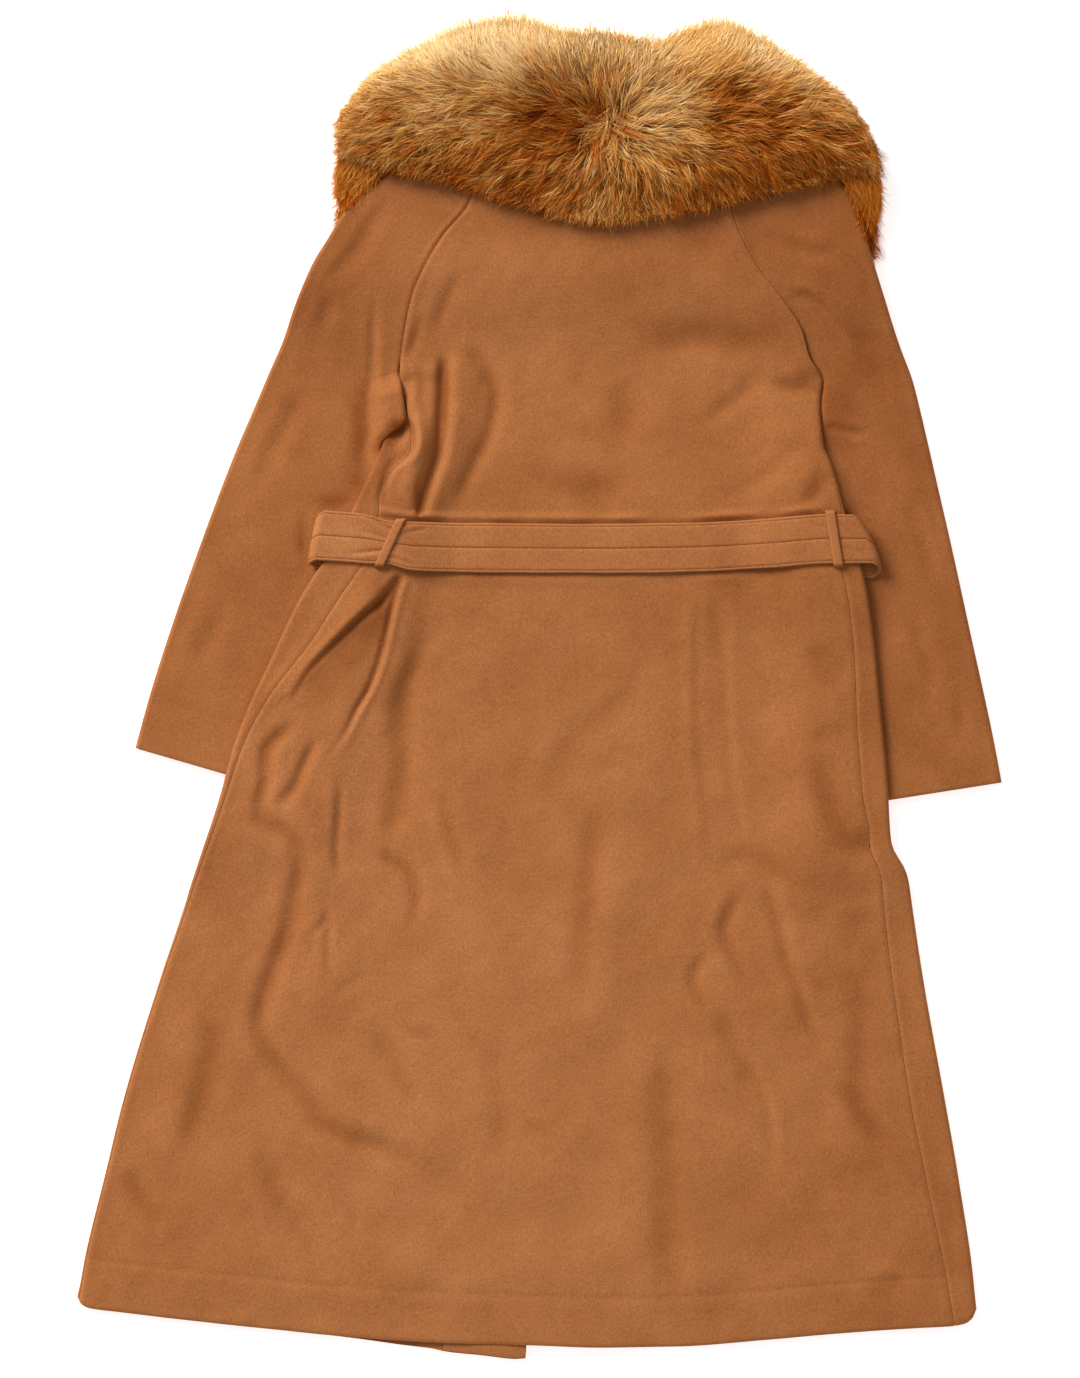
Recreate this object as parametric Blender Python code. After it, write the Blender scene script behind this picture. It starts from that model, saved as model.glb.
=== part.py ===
"""Long belted overcoat of wool melton with a round fox fur collar, laid flat face down.

Millimetres are turned into metres when a mesh is made. +X runs to the wearer's right
sleeve, +Y to the collar and +Z up, away from the surface that the coat lies on.
"""

import math

import bpy
import numpy as np

MM = 0.001

# Cloth and the way its layers lie on each other
CLOTH = 2.5
SEAM_GAP = 0.4
REST = 0.3
FLAT = 8.8
LAP = CLOTH + REST
FACING_THICK = 1.7
FACING_ROOM = 1.6

FOLD_R = FLAT / 2
QUARTER = math.pi / 2 * (FOLD_R - CLOTH / 2)

# Landmarks along the coat
ARMPIT_Y = 298.0
NECK_Y = 568.0
NECK_START_Y = 440.0
HEM_START_Y = -450.0
HEM_ROW = -600.0
NECK_MID_X = 60.5
NECK_HALF = 97.0
BACK_NECK_DROP = 10.0
FRONT_NECK_DROP = 80.0

# Sleeves under the body
LEFT_ARMPIT_X = -135.8
RIGHT_ARMPIT_X = 273.0
LEFT_CUFF_INNER = (-242.9, -93.1)
LEFT_CUFF_OUTER = (-387.0, -51.0)
RIGHT_CUFF_INNER = (293.8, -107.5)
RIGHT_CUFF_OUTER = (441.6, -84.0)
SLEEVE_LIFT = FLAT + REST
SLEEVE_LIFT_Y = (292.0, 236.0)
SLEEVE_DROP_Y = (-111.0, -168.0)
SLEEVE_RAMP = (26.0, 88.0)
OVERARM_SEAM = 9.0

# Belt
BELT_WIDE = 49.0
BELT_THICK = 4.5
BELT_LEFT_END = -222.7
BELT_RIGHT_END = 328.0
BELT_BACK_MEET = (57.0, 63.0)
BELT_LIFT = BELT_THICK + REST
BELT_ROOM_UP = 34.0
BELT_ROOM_DOWN = 42.0
BELT_RAMP = 30.0
LOOP_WIDE = 9.0

# Fur
FUR_UNDER = 16.0
COLLAR_LIFT = FUR_UNDER + REST
COLLAR_RAMP_Y = (300.0, 420.0)
FUR_SLOT_TOP = COLLAR_LIFT + FLAT + REST + 0.1


def table(columns, rows):
    """Columns of a table by name."""
    return dict(zip(columns.split(), np.array(rows, dtype=float).T))


# Side edges of the body, from the armpits to the hem
SIDES = table("y left right", [
    (298.0, -135.4, 272.6),
    (270.0, -142.4, 269.8),
    (236.0, -151.8, 272.4),
    (222.0, -158.6, 278.6),
    (208.0, -164.5, 283.0),
    (174.0, -180.5, 291.8),
    (146.0, -194.5, 300.5),
    (120.0, -208.6, 308.6),
    (87.0, -232.3, 315.4),
    (37.0, -255.8, 322.0),
    (-10.0, -277.9, 326.6),
    (-54.0, -294.8, 331.0),
    (-94.0, -305.6, 334.1),
    (-123.0, -314.5, 335.5),
    (-161.0, -327.4, 346.6),
    (-200.0, -340.0, 356.2),
    (-277.0, -365.0, 367.7),
    (-392.0, -399.4, 387.8),
    (-468.0, -417.6, 401.3),
    (-545.0, -434.9, 412.8),
    (-600.0, -443.0, 417.8),
])

# How far the fronts wrap round the side edges, along the cloth
WRAPS = table("y left right", [
    (298.0, 0.0, 0.0),
    (270.0, 3.0, 4.0),
    (236.0, 8.0, 9.0),
    (208.0, 18.0, 14.0),
    (174.0, 30.0, 18.0),
    (120.0, 40.0, 20.5),
    (87.0, 36.5, 20.5),
    (54.0, 31.0, 21.0),
    (26.0, 23.0, 22.0),
    (-1.0, 15.5, 23.5),
    (-43.0, 10.0, 26.0),
    (-92.0, 8.0, 26.0),
    (-123.0, 8.0, 15.5),
    (-200.0, 8.0, 25.0),
    (-290.0, 8.0, 27.0),
    (-600.0, 8.0, 19.5),
])

# Raglan seams, from the armpits to the neck
RAGLANS = table("y left right", [
    (298.0, -135.8, 273.0),
    (322.0, -133.8, 258.5),
    (348.0, -129.6, 250.9),
    (378.0, -122.8, 232.0),
    (410.0, -110.4, 205.5),
    (438.0, -88.3, 190.5),
    (466.0, -67.2, 181.5),
    (520.0, -49.9, 169.0),
    (568.0, -36.5, 157.4),
])

# Shoulder edges of the sleeves, from beside the armpit to the neck; part is the
# share of the way up the raglan seam
SHOULDERS = table("part left_x left_y right_x right_y", [
    (0.00, -246.7, 337.9, 358.0, 300.0),
    (0.12, -233.3, 376.3, 343.0, 340.0),
    (0.24, -216.0, 414.7, 331.2, 376.3),
    (0.36, -204.5, 433.0, 318.5, 416.0),
    (0.48, -187.2, 460.8, 308.0, 450.0),
    (0.62, -148.8, 496.3, 289.0, 490.0),
    (0.80, -105.6, 528.0, 249.6, 526.0),
    (1.00, -59.5, 571.0, 180.5, 571.0),
])

# Outer edges of the sleeves from the cuffs to beside the armpit
SLEEVE_EDGES = table("part left_x left_y right_x right_y", [
    (0.00, -387.0, -51.0, 441.6, -84.0),
    (0.10, -375.5, -9.0, 435.0, -46.0),
    (0.25, -356.6, 50.0, 421.5, 14.0),
    (0.40, -336.5, 108.0, 407.5, 72.0),
    (0.55, -314.5, 166.0, 394.5, 130.0),
    (0.70, -292.5, 224.0, 382.0, 186.0),
    (0.85, -269.5, 281.0, 370.5, 243.0),
    (1.00, -246.7, 337.9, 358.0, 300.0),
])

# Hem lines
BACK_HEM = table("x y", [
    (-443.0, -589.0),
    (-403.0, -594.0),
    (-326.0, -603.0),
    (-250.0, -611.5),
    (-206.0, -616.5),
    (-96.0, -625.0),
    (-10.0, -627.5),
    (58.0, -629.8),
    (134.0, -628.8),
    (211.0, -623.0),
    (288.0, -616.3),
    (365.0, -611.0),
    (403.0, -607.0),
    (418.0, -603.0),
])
LEFT_FRONT_HEM = table("x y", [
    (-443.0, -589.0),
    (-403.0, -594.0),
    (-326.0, -603.0),
    (-250.0, -611.5),
    (-206.0, -617.0),
    (-173.0, -622.0),
    (-134.0, -627.5),
    (-97.0, -632.0),
    (-93.0, -633.5),
    (-57.0, -637.4),
    (-19.0, -641.3),
    (-12.0, -640.0),
])

# Front edges, where each front ends past the centre
FRONT_EDGES = table("y left right", [
    (-641.0, -14.0, -106.0),
    (-600.0, -11.0, -102.0),
    (0.0, 44.0, -38.0),
    (500.0, 95.0, 25.0),
    (568.0, 98.0, 23.0),
])

# Rows of the body, from neck to hem
ROWS = [
    568, 545, 515, 480, 438, 410, 378, 348, 322, 298, 284, 270, 253, 236, 222, 206,
    190, 176, 142, 104, 90, 74, 50, 26, -1, -28, -56, -92, -111, -130, -149, -168,
    -200, -244, -290, -340, -392, -450, -500, -545, -580, -600,
]

# Largest folds of the back at the left armpit and waist, and its long soft waves:
# the crest runs through three points
FOLDS = table("x0 y0 x1 y1 x2 y2 high half", [
    (-126.0, 304.0, -114.0, 240.0, -131.0, 190.0, 7.5, 12.0),
    (-76.0, 330.0, -82.0, 240.0, -103.0, 178.0, 7.0, 17.0),
    (-160.0, 108.0, -206.0, 56.0, -262.0, -30.0, 7.0, 12.0),
    (-119.0, 108.0, -134.0, 40.0, -168.0, -45.0, 8.0, 16.0),
    (-170.0, -60.0, -190.0, -180.0, -215.0, -330.0, 3.5, 30.0),
    (-95.0, -40.0, -70.0, -190.0, -45.0, -330.0, 3.5, 26.0),
    (100.0, -60.0, 75.0, -180.0, 50.0, -330.0, 3.0, 30.0),
    (228.0, -160.0, 262.0, -290.0, 300.0, -400.0, 3.5, 24.0),
    (-280.0, -250.0, -180.0, -390.0, -60.0, -450.0, 3.0, 28.0),
])

# Centre line of the belt over the back, and how much lower it runs under the fronts
BELT_LINE = table("x y drop", [
    (-223.0, 146.0, 4.0),
    (-142.0, 142.6, 6.0),
    (0.0, 139.7, 8.0),
    (280.0, 146.5, 12.0),
    (328.0, 146.5, 14.0),
])

# Belt loops: where the loop crosses above and below the belt
LOOPS = table("side x_up x_down", [
    (-1.0, -131.5, -154.5),
    (1.0, 280.3, 288.0),
])

# Fold of a loop over the belt: t along the coat from the belt's centre line, h above
# the panel, for the loop's inner and outer faces
LOOP_FOLD = table("t_in h_in t_out h_out", [
    (36.0, 0.4, 36.0, 2.8),
    (29.0, 0.4, 30.2, 2.8),
    (26.8, 2.2, 28.6, 4.2),
    (25.8, 4.6, 27.6, 6.4),
    (24.2, 5.3, 25.0, 7.7),
    (12.0, 5.3, 12.0, 7.8),
    (-12.0, 5.3, -12.0, 7.8),
    (-24.2, 5.3, -25.0, 7.7),
    (-25.8, 4.6, -27.6, 6.4),
    (-26.8, 2.2, -28.6, 4.2),
    (-29.0, 0.4, -30.2, 2.8),
    (-36.0, 0.4, -36.0, 2.8),
])

# Collar: outer outline, lower edges of the layer over the back and of the layer under
# the fronts, and how far the fur stands above the slot that holds the neck edge
COLLAR = table("x top over under loft", [
    (-196.0, 541.0, 512.0, 474.0, 14.0),
    (-190.0, 558.0, 509.0, 464.0, 22.0),
    (-180.0, 573.0, 507.0, 458.0, 28.0),
    (-150.0, 600.0, 499.0, 452.0, 36.0),
    (-119.0, 616.0, 492.0, 450.0, 40.0),
    (-88.0, 631.0, 485.0, 448.0, 42.0),
    (-57.0, 641.0, 474.0, 447.0, 42.0),
    (-20.0, 645.0, 464.0, 446.0, 42.0),
    (19.0, 633.0, 452.0, 446.0, 42.0),
    (54.0, 631.0, 446.0, 446.0, 42.0),
    (58.0, 631.0, 446.0, 520.0, 42.0),
    (64.0, 631.0, 446.0, 520.0, 42.0),
    (68.0, 630.0, 446.0, 446.0, 42.0),
    (111.0, 624.0, 452.0, 444.0, 42.0),
    (150.0, 636.0, 458.0, 442.0, 42.0),
    (173.0, 641.0, 464.0, 440.0, 42.0),
    (205.0, 630.0, 471.0, 438.0, 40.0),
    (240.0, 608.0, 480.0, 434.0, 38.0),
    (268.0, 589.0, 487.0, 430.0, 34.0),
    (296.0, 567.0, 493.0, 427.0, 30.0),
    (312.0, 545.0, 494.0, 427.0, 26.0),
    (321.0, 524.0, 490.0, 440.0, 22.0),
    (327.0, 508.0, 486.0, 462.0, 14.0),
])


def fair(x, xs, ys):
    """Smooth curve through a column that never swings past its own points."""
    xs = np.asarray(xs, dtype=float)
    ys = np.asarray(ys, dtype=float)
    if xs[0] > xs[-1]:
        xs = xs[::-1]
        ys = ys[::-1]
    step = np.diff(xs)
    slope = np.diff(ys) / step
    tangent = np.zeros_like(ys)
    tangent[0] = slope[0]
    tangent[-1] = slope[-1]
    for i in range(1, len(xs) - 1):
        if slope[i - 1] * slope[i] > 0:
            tangent[i] = 2 * slope[i - 1] * slope[i] / (slope[i - 1] + slope[i])
    x = np.clip(x, xs[0], xs[-1])
    k = np.clip(np.searchsorted(xs, x) - 1, 0, len(xs) - 2)
    t = (x - xs[k]) / step[k]
    a = (1 + 2 * t) * (1 - t) ** 2
    b = t * (1 - t) ** 2
    c = t * t * (3 - 2 * t)
    d = t * t * (t - 1)
    return a * ys[k] + b * step[k] * tangent[k] + c * ys[k + 1] + d * step[k] * tangent[k + 1]


def ease(value, start, end):
    """Soft step from 0 at start to 1 at end."""
    t = np.clip((value - start) / (end - start), 0.0, 1.0)
    return t * t * (3 - 2 * t)


def side_edge(s, side):
    return float(fair(s, SIDES["y"], SIDES["left" if side < 0 else "right"]))


def wrap(s, side):
    return float(fair(s, WRAPS["y"], WRAPS["left" if side < 0 else "right"]))


def raglan(s, side):
    return float(fair(s, RAGLANS["y"], RAGLANS["left" if side < 0 else "right"]))


def front_edge(y, side):
    return float(fair(y, FRONT_EDGES["y"], FRONT_EDGES["left" if side < 0 else "right"]))


def belt_line(x):
    return fair(x, BELT_LINE["x"], BELT_LINE["y"])


def neck(x, drop):
    """Neckline, lowest at the middle."""
    t = np.clip(abs(x - NECK_MID_X) / NECK_HALF, 0.0, 1.0)
    return NECK_Y - drop * (1 - t * t)


def row_y(x, s, hem, drop):
    """Place along the coat of a row at x: rows bend to the neckline and to the hem."""
    if s > NECK_START_Y:
        share = (s - NECK_START_Y) / (NECK_Y - NECK_START_Y)
        return NECK_START_Y + (neck(x, drop) - NECK_START_Y) * share
    if s < HEM_START_Y:
        share = (HEM_START_Y - s) / (HEM_START_Y - HEM_ROW)
        return HEM_START_Y + (fair(x, hem["x"], hem["y"]) - HEM_START_Y) * share
    return s


def collar_lift(y):
    return COLLAR_LIFT * ease(y, *COLLAR_RAMP_Y)


def sleeve_inner(y, side):
    """Inner fold of a sleeve at y, where it runs on under the body."""
    armpit_x = LEFT_ARMPIT_X if side < 0 else RIGHT_ARMPIT_X
    cuff = LEFT_CUFF_INNER if side < 0 else RIGHT_CUFF_INNER
    return armpit_x + (cuff[0] - armpit_x) * (ARMPIT_Y - y) / (ARMPIT_Y - cuff[1])


def sleeve_lift(x, y):
    """Rise of the body over the sleeves that lie under its sides."""
    along = ease(y, *SLEEVE_LIFT_Y) * (1 - ease(y, *SLEEVE_DROP_Y))
    from_left = 1 - ease(x - sleeve_inner(y, -1), *SLEEVE_RAMP)
    from_right = 1 - ease(sleeve_inner(y, 1) - x, *SLEEVE_RAMP)
    return SLEEVE_LIFT * along * np.maximum(from_left, from_right)


def belt_lift(x, y):
    """Rise of the body over the belt's run under the fronts."""
    t = y - belt_line(x)
    up = 1 - ease(t, BELT_ROOM_UP, BELT_ROOM_UP + BELT_RAMP)
    down = 1 - ease(-t, BELT_ROOM_DOWN, BELT_ROOM_DOWN + BELT_RAMP)
    return BELT_LIFT * up * down


def body_lift(x, y):
    return collar_lift(y) + sleeve_lift(x, y) + belt_lift(x, y)


def lap_lift(x, y):
    """Rise of the left front where it lies on the right front's edge."""
    edge = front_edge(y, 1)
    return LAP * ease(x, edge - 26.0, edge - 2.0)


def facing_lift(x, y):
    """Room over the facing at the corner of the left front."""
    across = ease(x, -225.0, -165.0) * (1 - ease(x, 60.0, 120.0))
    return FACING_ROOM * across * ease(-y, 500.0, 555.0)


def crest_distance(x, y, row):
    """Distance to a fold's crest, and the share of the way along it."""
    nodes = [(FOLDS["x%d" % i][row], FOLDS["y%d" % i][row]) for i in range(3)]
    best = 1e9
    share = 0.0
    for i in range(2):
        ax, ay = nodes[i]
        bx, by = nodes[i + 1]
        dx, dy = bx - ax, by - ay
        t = np.clip(((x - ax) * dx + (y - ay) * dy) / (dx * dx + dy * dy), 0.0, 1.0)
        gap = math.hypot(x - ax - t * dx, y - ay - t * dy)
        if gap < best:
            best = gap
            share = (i + t) / 2
    return best, share


def relief(x, y):
    """Height of the folds, which lie flat where the belt crosses them."""
    high = 0.0
    for row in range(len(FOLDS["high"])):
        gap, share = crest_distance(x, y, row)
        body = math.exp(-((gap / FOLDS["half"][row]) ** 2))
        ends = 0.25 + 0.75 * math.sin(math.pi * np.clip(share, 0.02, 0.98)) ** 0.5
        high = max(high, FOLDS["high"][row] * body * ends)
    clear = ease(abs(y - belt_line(x)), 38.0, 58.0)
    return high * clear


def fold_point(edge_x, side, sigma):
    """Outer and inner points of a flattened tube, sigma along the cloth from its edge.

    sigma is positive over the top and negative underneath.
    """
    if abs(sigma) > QUARTER:
        x = edge_x - side * (FOLD_R + abs(sigma) - QUARTER)
        if sigma > 0:
            return x, FLAT, x, FLAT - CLOTH
        return x, 0.0, x, CLOTH
    angle = sigma / QUARTER * math.pi / 2
    mid_x = edge_x - side * FOLD_R
    inner_r = FOLD_R - CLOTH
    return (mid_x + side * FOLD_R * math.cos(angle), FOLD_R + FOLD_R * math.sin(angle),
            mid_x + side * inner_r * math.cos(angle), FOLD_R + inner_r * math.sin(angle))


def panel_solid(name, outer, inner, material):
    """Closed wall between an outer and an inner grid of points."""
    outer = np.asarray(outer)
    inner = np.asarray(inner)
    rows, columns = outer.shape[:2]
    points = np.concatenate([outer.reshape(-1, 3), inner.reshape(-1, 3)]) * MM
    count = rows * columns

    def at(r, c, layer):
        return layer * count + r * columns + c

    faces = []
    for r in range(rows - 1):
        for c in range(columns - 1):
            quad = (at(r, c, 0), at(r, c + 1, 0), at(r + 1, c + 1, 0), at(r + 1, c, 0))
            faces.append(quad)
            faces.append(tuple(i + count for i in reversed(quad)))
    for r in range(rows - 1):
        faces.append((at(r + 1, 0, 0), at(r + 1, 0, 1), at(r, 0, 1), at(r, 0, 0)))
        last = columns - 1
        faces.append((at(r, last, 0), at(r, last, 1), at(r + 1, last, 1), at(r + 1, last, 0)))
    for c in range(columns - 1):
        faces.append((at(0, c, 0), at(0, c, 1), at(0, c + 1, 1), at(0, c + 1, 0)))
        end = rows - 1
        faces.append((at(end, c + 1, 0), at(end, c + 1, 1), at(end, c, 1), at(end, c, 0)))
    return add_mesh(name, points, faces, material)


def ring_solid(name, rings, material):
    """Closed solid through rings of equal count, closed by a face at each end."""
    rings = np.asarray(rings)
    count, size = rings.shape[:2]
    points = rings.reshape(-1, 3) * MM
    faces = [tuple(range(size))]
    for k in range(count - 1):
        for i in range(size):
            j = (i + 1) % size
            faces.append((k * size + j, k * size + i, (k + 1) * size + i, (k + 1) * size + j))
    faces.append(tuple(reversed(range((count - 1) * size, count * size))))
    return add_mesh(name, points, faces, material)


def signed_volume(points, faces):
    """Volume inside a mesh, negative where its faces point inwards."""
    total = 0.0
    for face in faces:
        for i in range(1, len(face) - 1):
            a, b, c = points[face[0]], points[face[i]], points[face[i + 1]]
            total += float(np.dot(a, np.cross(b, c)))
    return total / 6


def add_mesh(name, points, faces, material):
    """Mesh object with its faces outwards."""
    if signed_volume(points, faces) < 0:
        faces = [(face[0], *reversed(face[1:])) for face in faces]
    mesh = bpy.data.meshes.new(name)
    mesh.from_pydata([tuple(p) for p in points], [], faces)
    mesh.polygons.foreach_set("use_smooth", [True] * len(mesh.polygons))
    mesh.materials.append(material)
    mesh.update()
    piece = bpy.data.objects.new(name, mesh)
    bpy.context.scene.collection.objects.link(piece)
    return piece


def cloth_material(name, colour, roughness):
    """Plain surface of one colour."""
    material = bpy.data.materials.new(name)
    material.use_nodes = True
    shader = material.node_tree.nodes["Principled BSDF"]
    shader.inputs["Base Color"].default_value = (*colour, 1.0)
    shader.inputs["Roughness"].default_value = roughness
    material.diffuse_color = (*colour, 1.0)
    return material


def top_point(x, y, z_out, sigma):
    """Lift of a point of the body, with its folds where the cloth is on top."""
    lift = float(body_lift(x, y))
    if z_out > FOLD_R:
        away = float(ease(sigma, QUARTER + 1.0, QUARTER + 16.0))
        lift += relief(x, y) * away + float(facing_lift(x, y))
    return lift


# Back

BACK_START = [0.0, 2.0, 4.5, 8.0]
BACK_SHARES = [0.02, 0.042, 0.066, 0.092, 0.12, 0.15, 0.185, 0.23, 0.29, 0.37, 0.46,
               0.55, 0.64, 0.72, 0.79, 0.85, 0.90, 0.94, 0.975]


def armpit_gap(s):
    """Gap between back and fronts: a little wider where the seam turns at the armpit."""
    return SEAM_GAP / 2 + 0.7 * float(ease(s, 255.0, 290.0))


def back_columns(s):
    """Section of the back: x, height and wall of its columns, left to right."""
    ends = []
    for side in (-1, 1):
        end = []
        for step in BACK_START:
            if s > ARMPIT_Y:
                x = raglan(s, side) - side * (SEAM_GAP / 2 + step)
                end.append((x, FLAT, x, FLAT - CLOTH, 100.0))
            else:
                sigma = wrap(s, side) + armpit_gap(s) + step
                end.append((*fold_point(side_edge(s, side), side, sigma), sigma))
        ends.append(end)
    left, right = ends
    start = left[-1][0]
    stop = right[-1][0]
    middle = []
    for share in BACK_SHARES:
        x = start + (stop - start) * share
        near = left[-1][4] + x - start if share < 0.5 else right[-1][4] + stop - x
        middle.append((x, FLAT, x, FLAT - CLOTH, near))
    return left + middle + right[::-1]


def back_grids():
    outer = []
    inner = []
    for s in ROWS:
        outer_row = []
        inner_row = []
        for x_out, z_out, x_in, z_in, sigma in back_columns(s):
            y = float(row_y(x_out, s, BACK_HEM, BACK_NECK_DROP))
            lift = top_point(x_out, y, z_out, sigma)
            outer_row.append((x_out, y, z_out + lift))
            inner_row.append((x_in, y, z_in + lift))
        outer.append(outer_row)
        inner.append(inner_row)
    return outer, inner


# Fronts

WRAP_TOP = 2
WRAP_ARC = 6
FRONT_SHARES = [0.04, 0.085, 0.135, 0.19, 0.26, 0.40, 0.60, 0.85]


def front_wrap(s, side):
    """Part of a front's section from its side seam round the edge to the underside."""
    columns = []
    count = WRAP_TOP + WRAP_ARC
    if s > ARMPIT_Y:
        for i in range(count + 1):
            x = raglan(s, side) - side * (SEAM_GAP / 2 + i * 1.1)
            columns.append((x, 0.0, x, CLOTH, 0.0))
        return columns
    start = wrap(s, side) - (SEAM_GAP / 2 if s < ARMPIT_Y else 0.0)
    if start > QUARTER * 1.6:
        path = [start + (QUARTER - start) * i / WRAP_TOP for i in range(WRAP_TOP)]
        path += [QUARTER - 2 * QUARTER * i / WRAP_ARC for i in range(WRAP_ARC + 1)]
    else:
        path = [start - (start + QUARTER) * i / count for i in range(count + 1)]
    return [(*fold_point(side_edge(s, side), side, sigma), sigma) for sigma in path]


def front_grids(side, hem):
    outer = []
    inner = []
    for s in ROWS:
        columns = front_wrap(s, side)
        start = columns[-1][0]
        y_edge = float(row_y(front_edge(s, side), s, hem, FRONT_NECK_DROP))
        stop = front_edge(y_edge, side)
        if side < 0:
            lap = front_edge(y_edge, 1)
            reach = [lap - 28.0, lap - 15.0, lap - 2.0, stop]
        else:
            reach = [stop]
        for share in FRONT_SHARES:
            x = start + (reach[0] - start) * share
            columns.append((x, 0.0, x, CLOTH, 0.0))
        for x in reach:
            columns.append((x, 0.0, x, CLOTH, 0.0))
        outer_row = []
        inner_row = []
        for x_out, z_out, x_in, z_in, sigma in columns:
            y = float(row_y(x_out, s, hem, FRONT_NECK_DROP))
            lift = top_point(x_out, y, z_out, sigma)
            if side < 0 and z_out < FOLD_R:
                lift += float(lap_lift(x_out, y))
            outer_row.append((x_out, y, z_out + lift))
            inner_row.append((x_in, y, z_in + lift))
        outer.append(outer_row)
        inner.append(inner_row)
    return outer, inner


def facing_grids():
    """Facing on the inside of the left front, from its points moved up."""
    outer = []
    inner = []
    for s in (-573.0, -582.0, -592.0, -600.0):
        outer_row = []
        inner_row = []
        y_edge = float(row_y(-12.0, s, LEFT_FRONT_HEM, 0.0))
        stop = front_edge(y_edge, -1) - 0.6
        for x in np.linspace(-93.0, stop, 7):
            y = float(row_y(x, s, LEFT_FRONT_HEM, 0.0))
            if s == HEM_ROW:
                y += 0.8
            z = CLOTH + REST + float(lap_lift(x, y))
            inner_row.append((x, y, z))
            outer_row.append((x, y, z + FACING_THICK))
        outer.append(outer_row)
        inner.append(inner_row)
    return outer, inner


# Sleeves

SLEEVE_STEPS = [0.0, 0.06, 0.14, 0.24, 0.36, 0.48, 0.60, 0.72, 0.83, 0.92]
INNER_STEPS = 3
OUTER_STEPS = 6
SLEEVE_SHARES = [0.10, 0.24, 0.40, 0.58, 0.78, 1.0]


def sleeve_stations(side):
    """Inner and outer ends of each section of a sleeve, from cuff to neck."""
    prefix = "left" if side < 0 else "right"
    cuff_inner = LEFT_CUFF_INNER if side < 0 else RIGHT_CUFF_INNER
    armpit = (LEFT_ARMPIT_X if side < 0 else RIGHT_ARMPIT_X) + side * SEAM_GAP / 2
    stations = []
    for part in SLEEVE_STEPS:
        inner = (cuff_inner[0] + (armpit - cuff_inner[0]) * part,
                 cuff_inner[1] + (ARMPIT_Y - cuff_inner[1]) * part)
        outer = (float(fair(part, SLEEVE_EDGES["part"], SLEEVE_EDGES[prefix + "_x"])),
                 float(fair(part, SLEEVE_EDGES["part"], SLEEVE_EDGES[prefix + "_y"])))
        stations.append((inner, outer, True))
    stations.append(((armpit, ARMPIT_Y),
                     (SHOULDERS[prefix + "_x"][0], SHOULDERS[prefix + "_y"][0]), True))
    for s in reversed([row for row in ROWS if row > ARMPIT_Y]):
        part = (s - ARMPIT_Y) / (NECK_Y - ARMPIT_Y)
        inner = (raglan(s, side) + side * SEAM_GAP / 2, float(s))
        outer = (float(fair(part, SHOULDERS["part"], SHOULDERS[prefix + "_x"])),
                 float(fair(part, SHOULDERS["part"], SHOULDERS[prefix + "_y"])))
        stations.append((inner, outer, False))
    return stations


def sleeve_row(station, upper):
    """Section of a sleeve half: distance from its inner end, and heights."""
    (ix, iy), (ox, oy), tube = station
    width = math.hypot(ox - ix, oy - iy)
    sign = 1.0 if upper else -1.0
    flat_out = FLAT if upper else 0.0
    flat_in = FLAT - CLOTH if upper else CLOTH
    columns = []
    for i in range(INNER_STEPS + 1):
        if tube:
            sigma = SEAM_GAP / 2 + (QUARTER - SEAM_GAP / 2) * i / INNER_STEPS
            columns.append(fold_point(0.0, -1, sign * sigma))
        else:
            columns.append((i * 1.5, flat_out, i * 1.5, flat_in))
    start = columns[-1][0]
    if upper:
        stop = width - (FOLD_R + OVERARM_SEAM - QUARTER) - SEAM_GAP / 2
    else:
        stop = width - FOLD_R
    for share in SLEEVE_SHARES:
        p = start + (stop - start) * share
        columns.append((p, flat_out, p, flat_in))
    if not upper:
        path = [-QUARTER + 2 * QUARTER * i / OUTER_STEPS for i in range(1, OUTER_STEPS + 1)]
        path.append(OVERARM_SEAM - SEAM_GAP / 2)
        for sigma in path:
            columns.append(fold_point(width, 1, sigma))
    return columns


def sleeve_grids(side, upper):
    outer = []
    inner = []
    for station in sleeve_stations(side):
        (ix, iy), (ox, oy), _ = station
        width = math.hypot(ox - ix, oy - iy)
        ex, ey = (ox - ix) / width, (oy - iy) / width
        outer_row = []
        inner_row = []
        for p_out, z_out, p_in, z_in in sleeve_row(station, upper):
            x, y = ix + ex * p_out, iy + ey * p_out
            lift = float(collar_lift(y))
            outer_row.append((x, y, z_out + lift))
            inner_row.append((ix + ex * p_in, iy + ey * p_in, z_in + lift))
        outer.append(outer_row)
        inner.append(inner_row)
    return outer, inner


# Belt and loops

def rows_near_belt():
    return [k for k, s in enumerate(ROWS) if 103.0 <= s <= 178.0]


def height_over(x, grids):
    """Highest top of the body's panels across the belt's width at x."""
    best = -1e9
    for grid in grids:
        for k in rows_near_belt():
            row = np.array(grid[k])
            top = row[row[:, 2] > FOLD_R + body_lift(row[:, 0], row[:, 1])]
            if len(top) < 2:
                continue
            order = np.argsort(top[:, 0])
            xs, zs = top[order, 0], top[order, 2]
            if xs[0] - 12 <= x <= xs[-1] + 12:
                best = max(best, float(np.interp(x, xs, zs)))
    return best


def height_under(x, grids):
    """Lowest underside of the fronts across the belt's width at x."""
    best = 1e9
    for grid in grids:
        for k in rows_near_belt():
            row = np.array(grid[k])
            low = row[row[:, 2] < FOLD_R + body_lift(row[:, 0], row[:, 1])]
            order = np.argsort(low[:, 0])
            xs, zs = low[order, 0], low[order, 2]
            if xs[0] - 12 <= x <= xs[-1] + 12:
                best = min(best, float(np.interp(x, xs, zs)))
    return best


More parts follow.
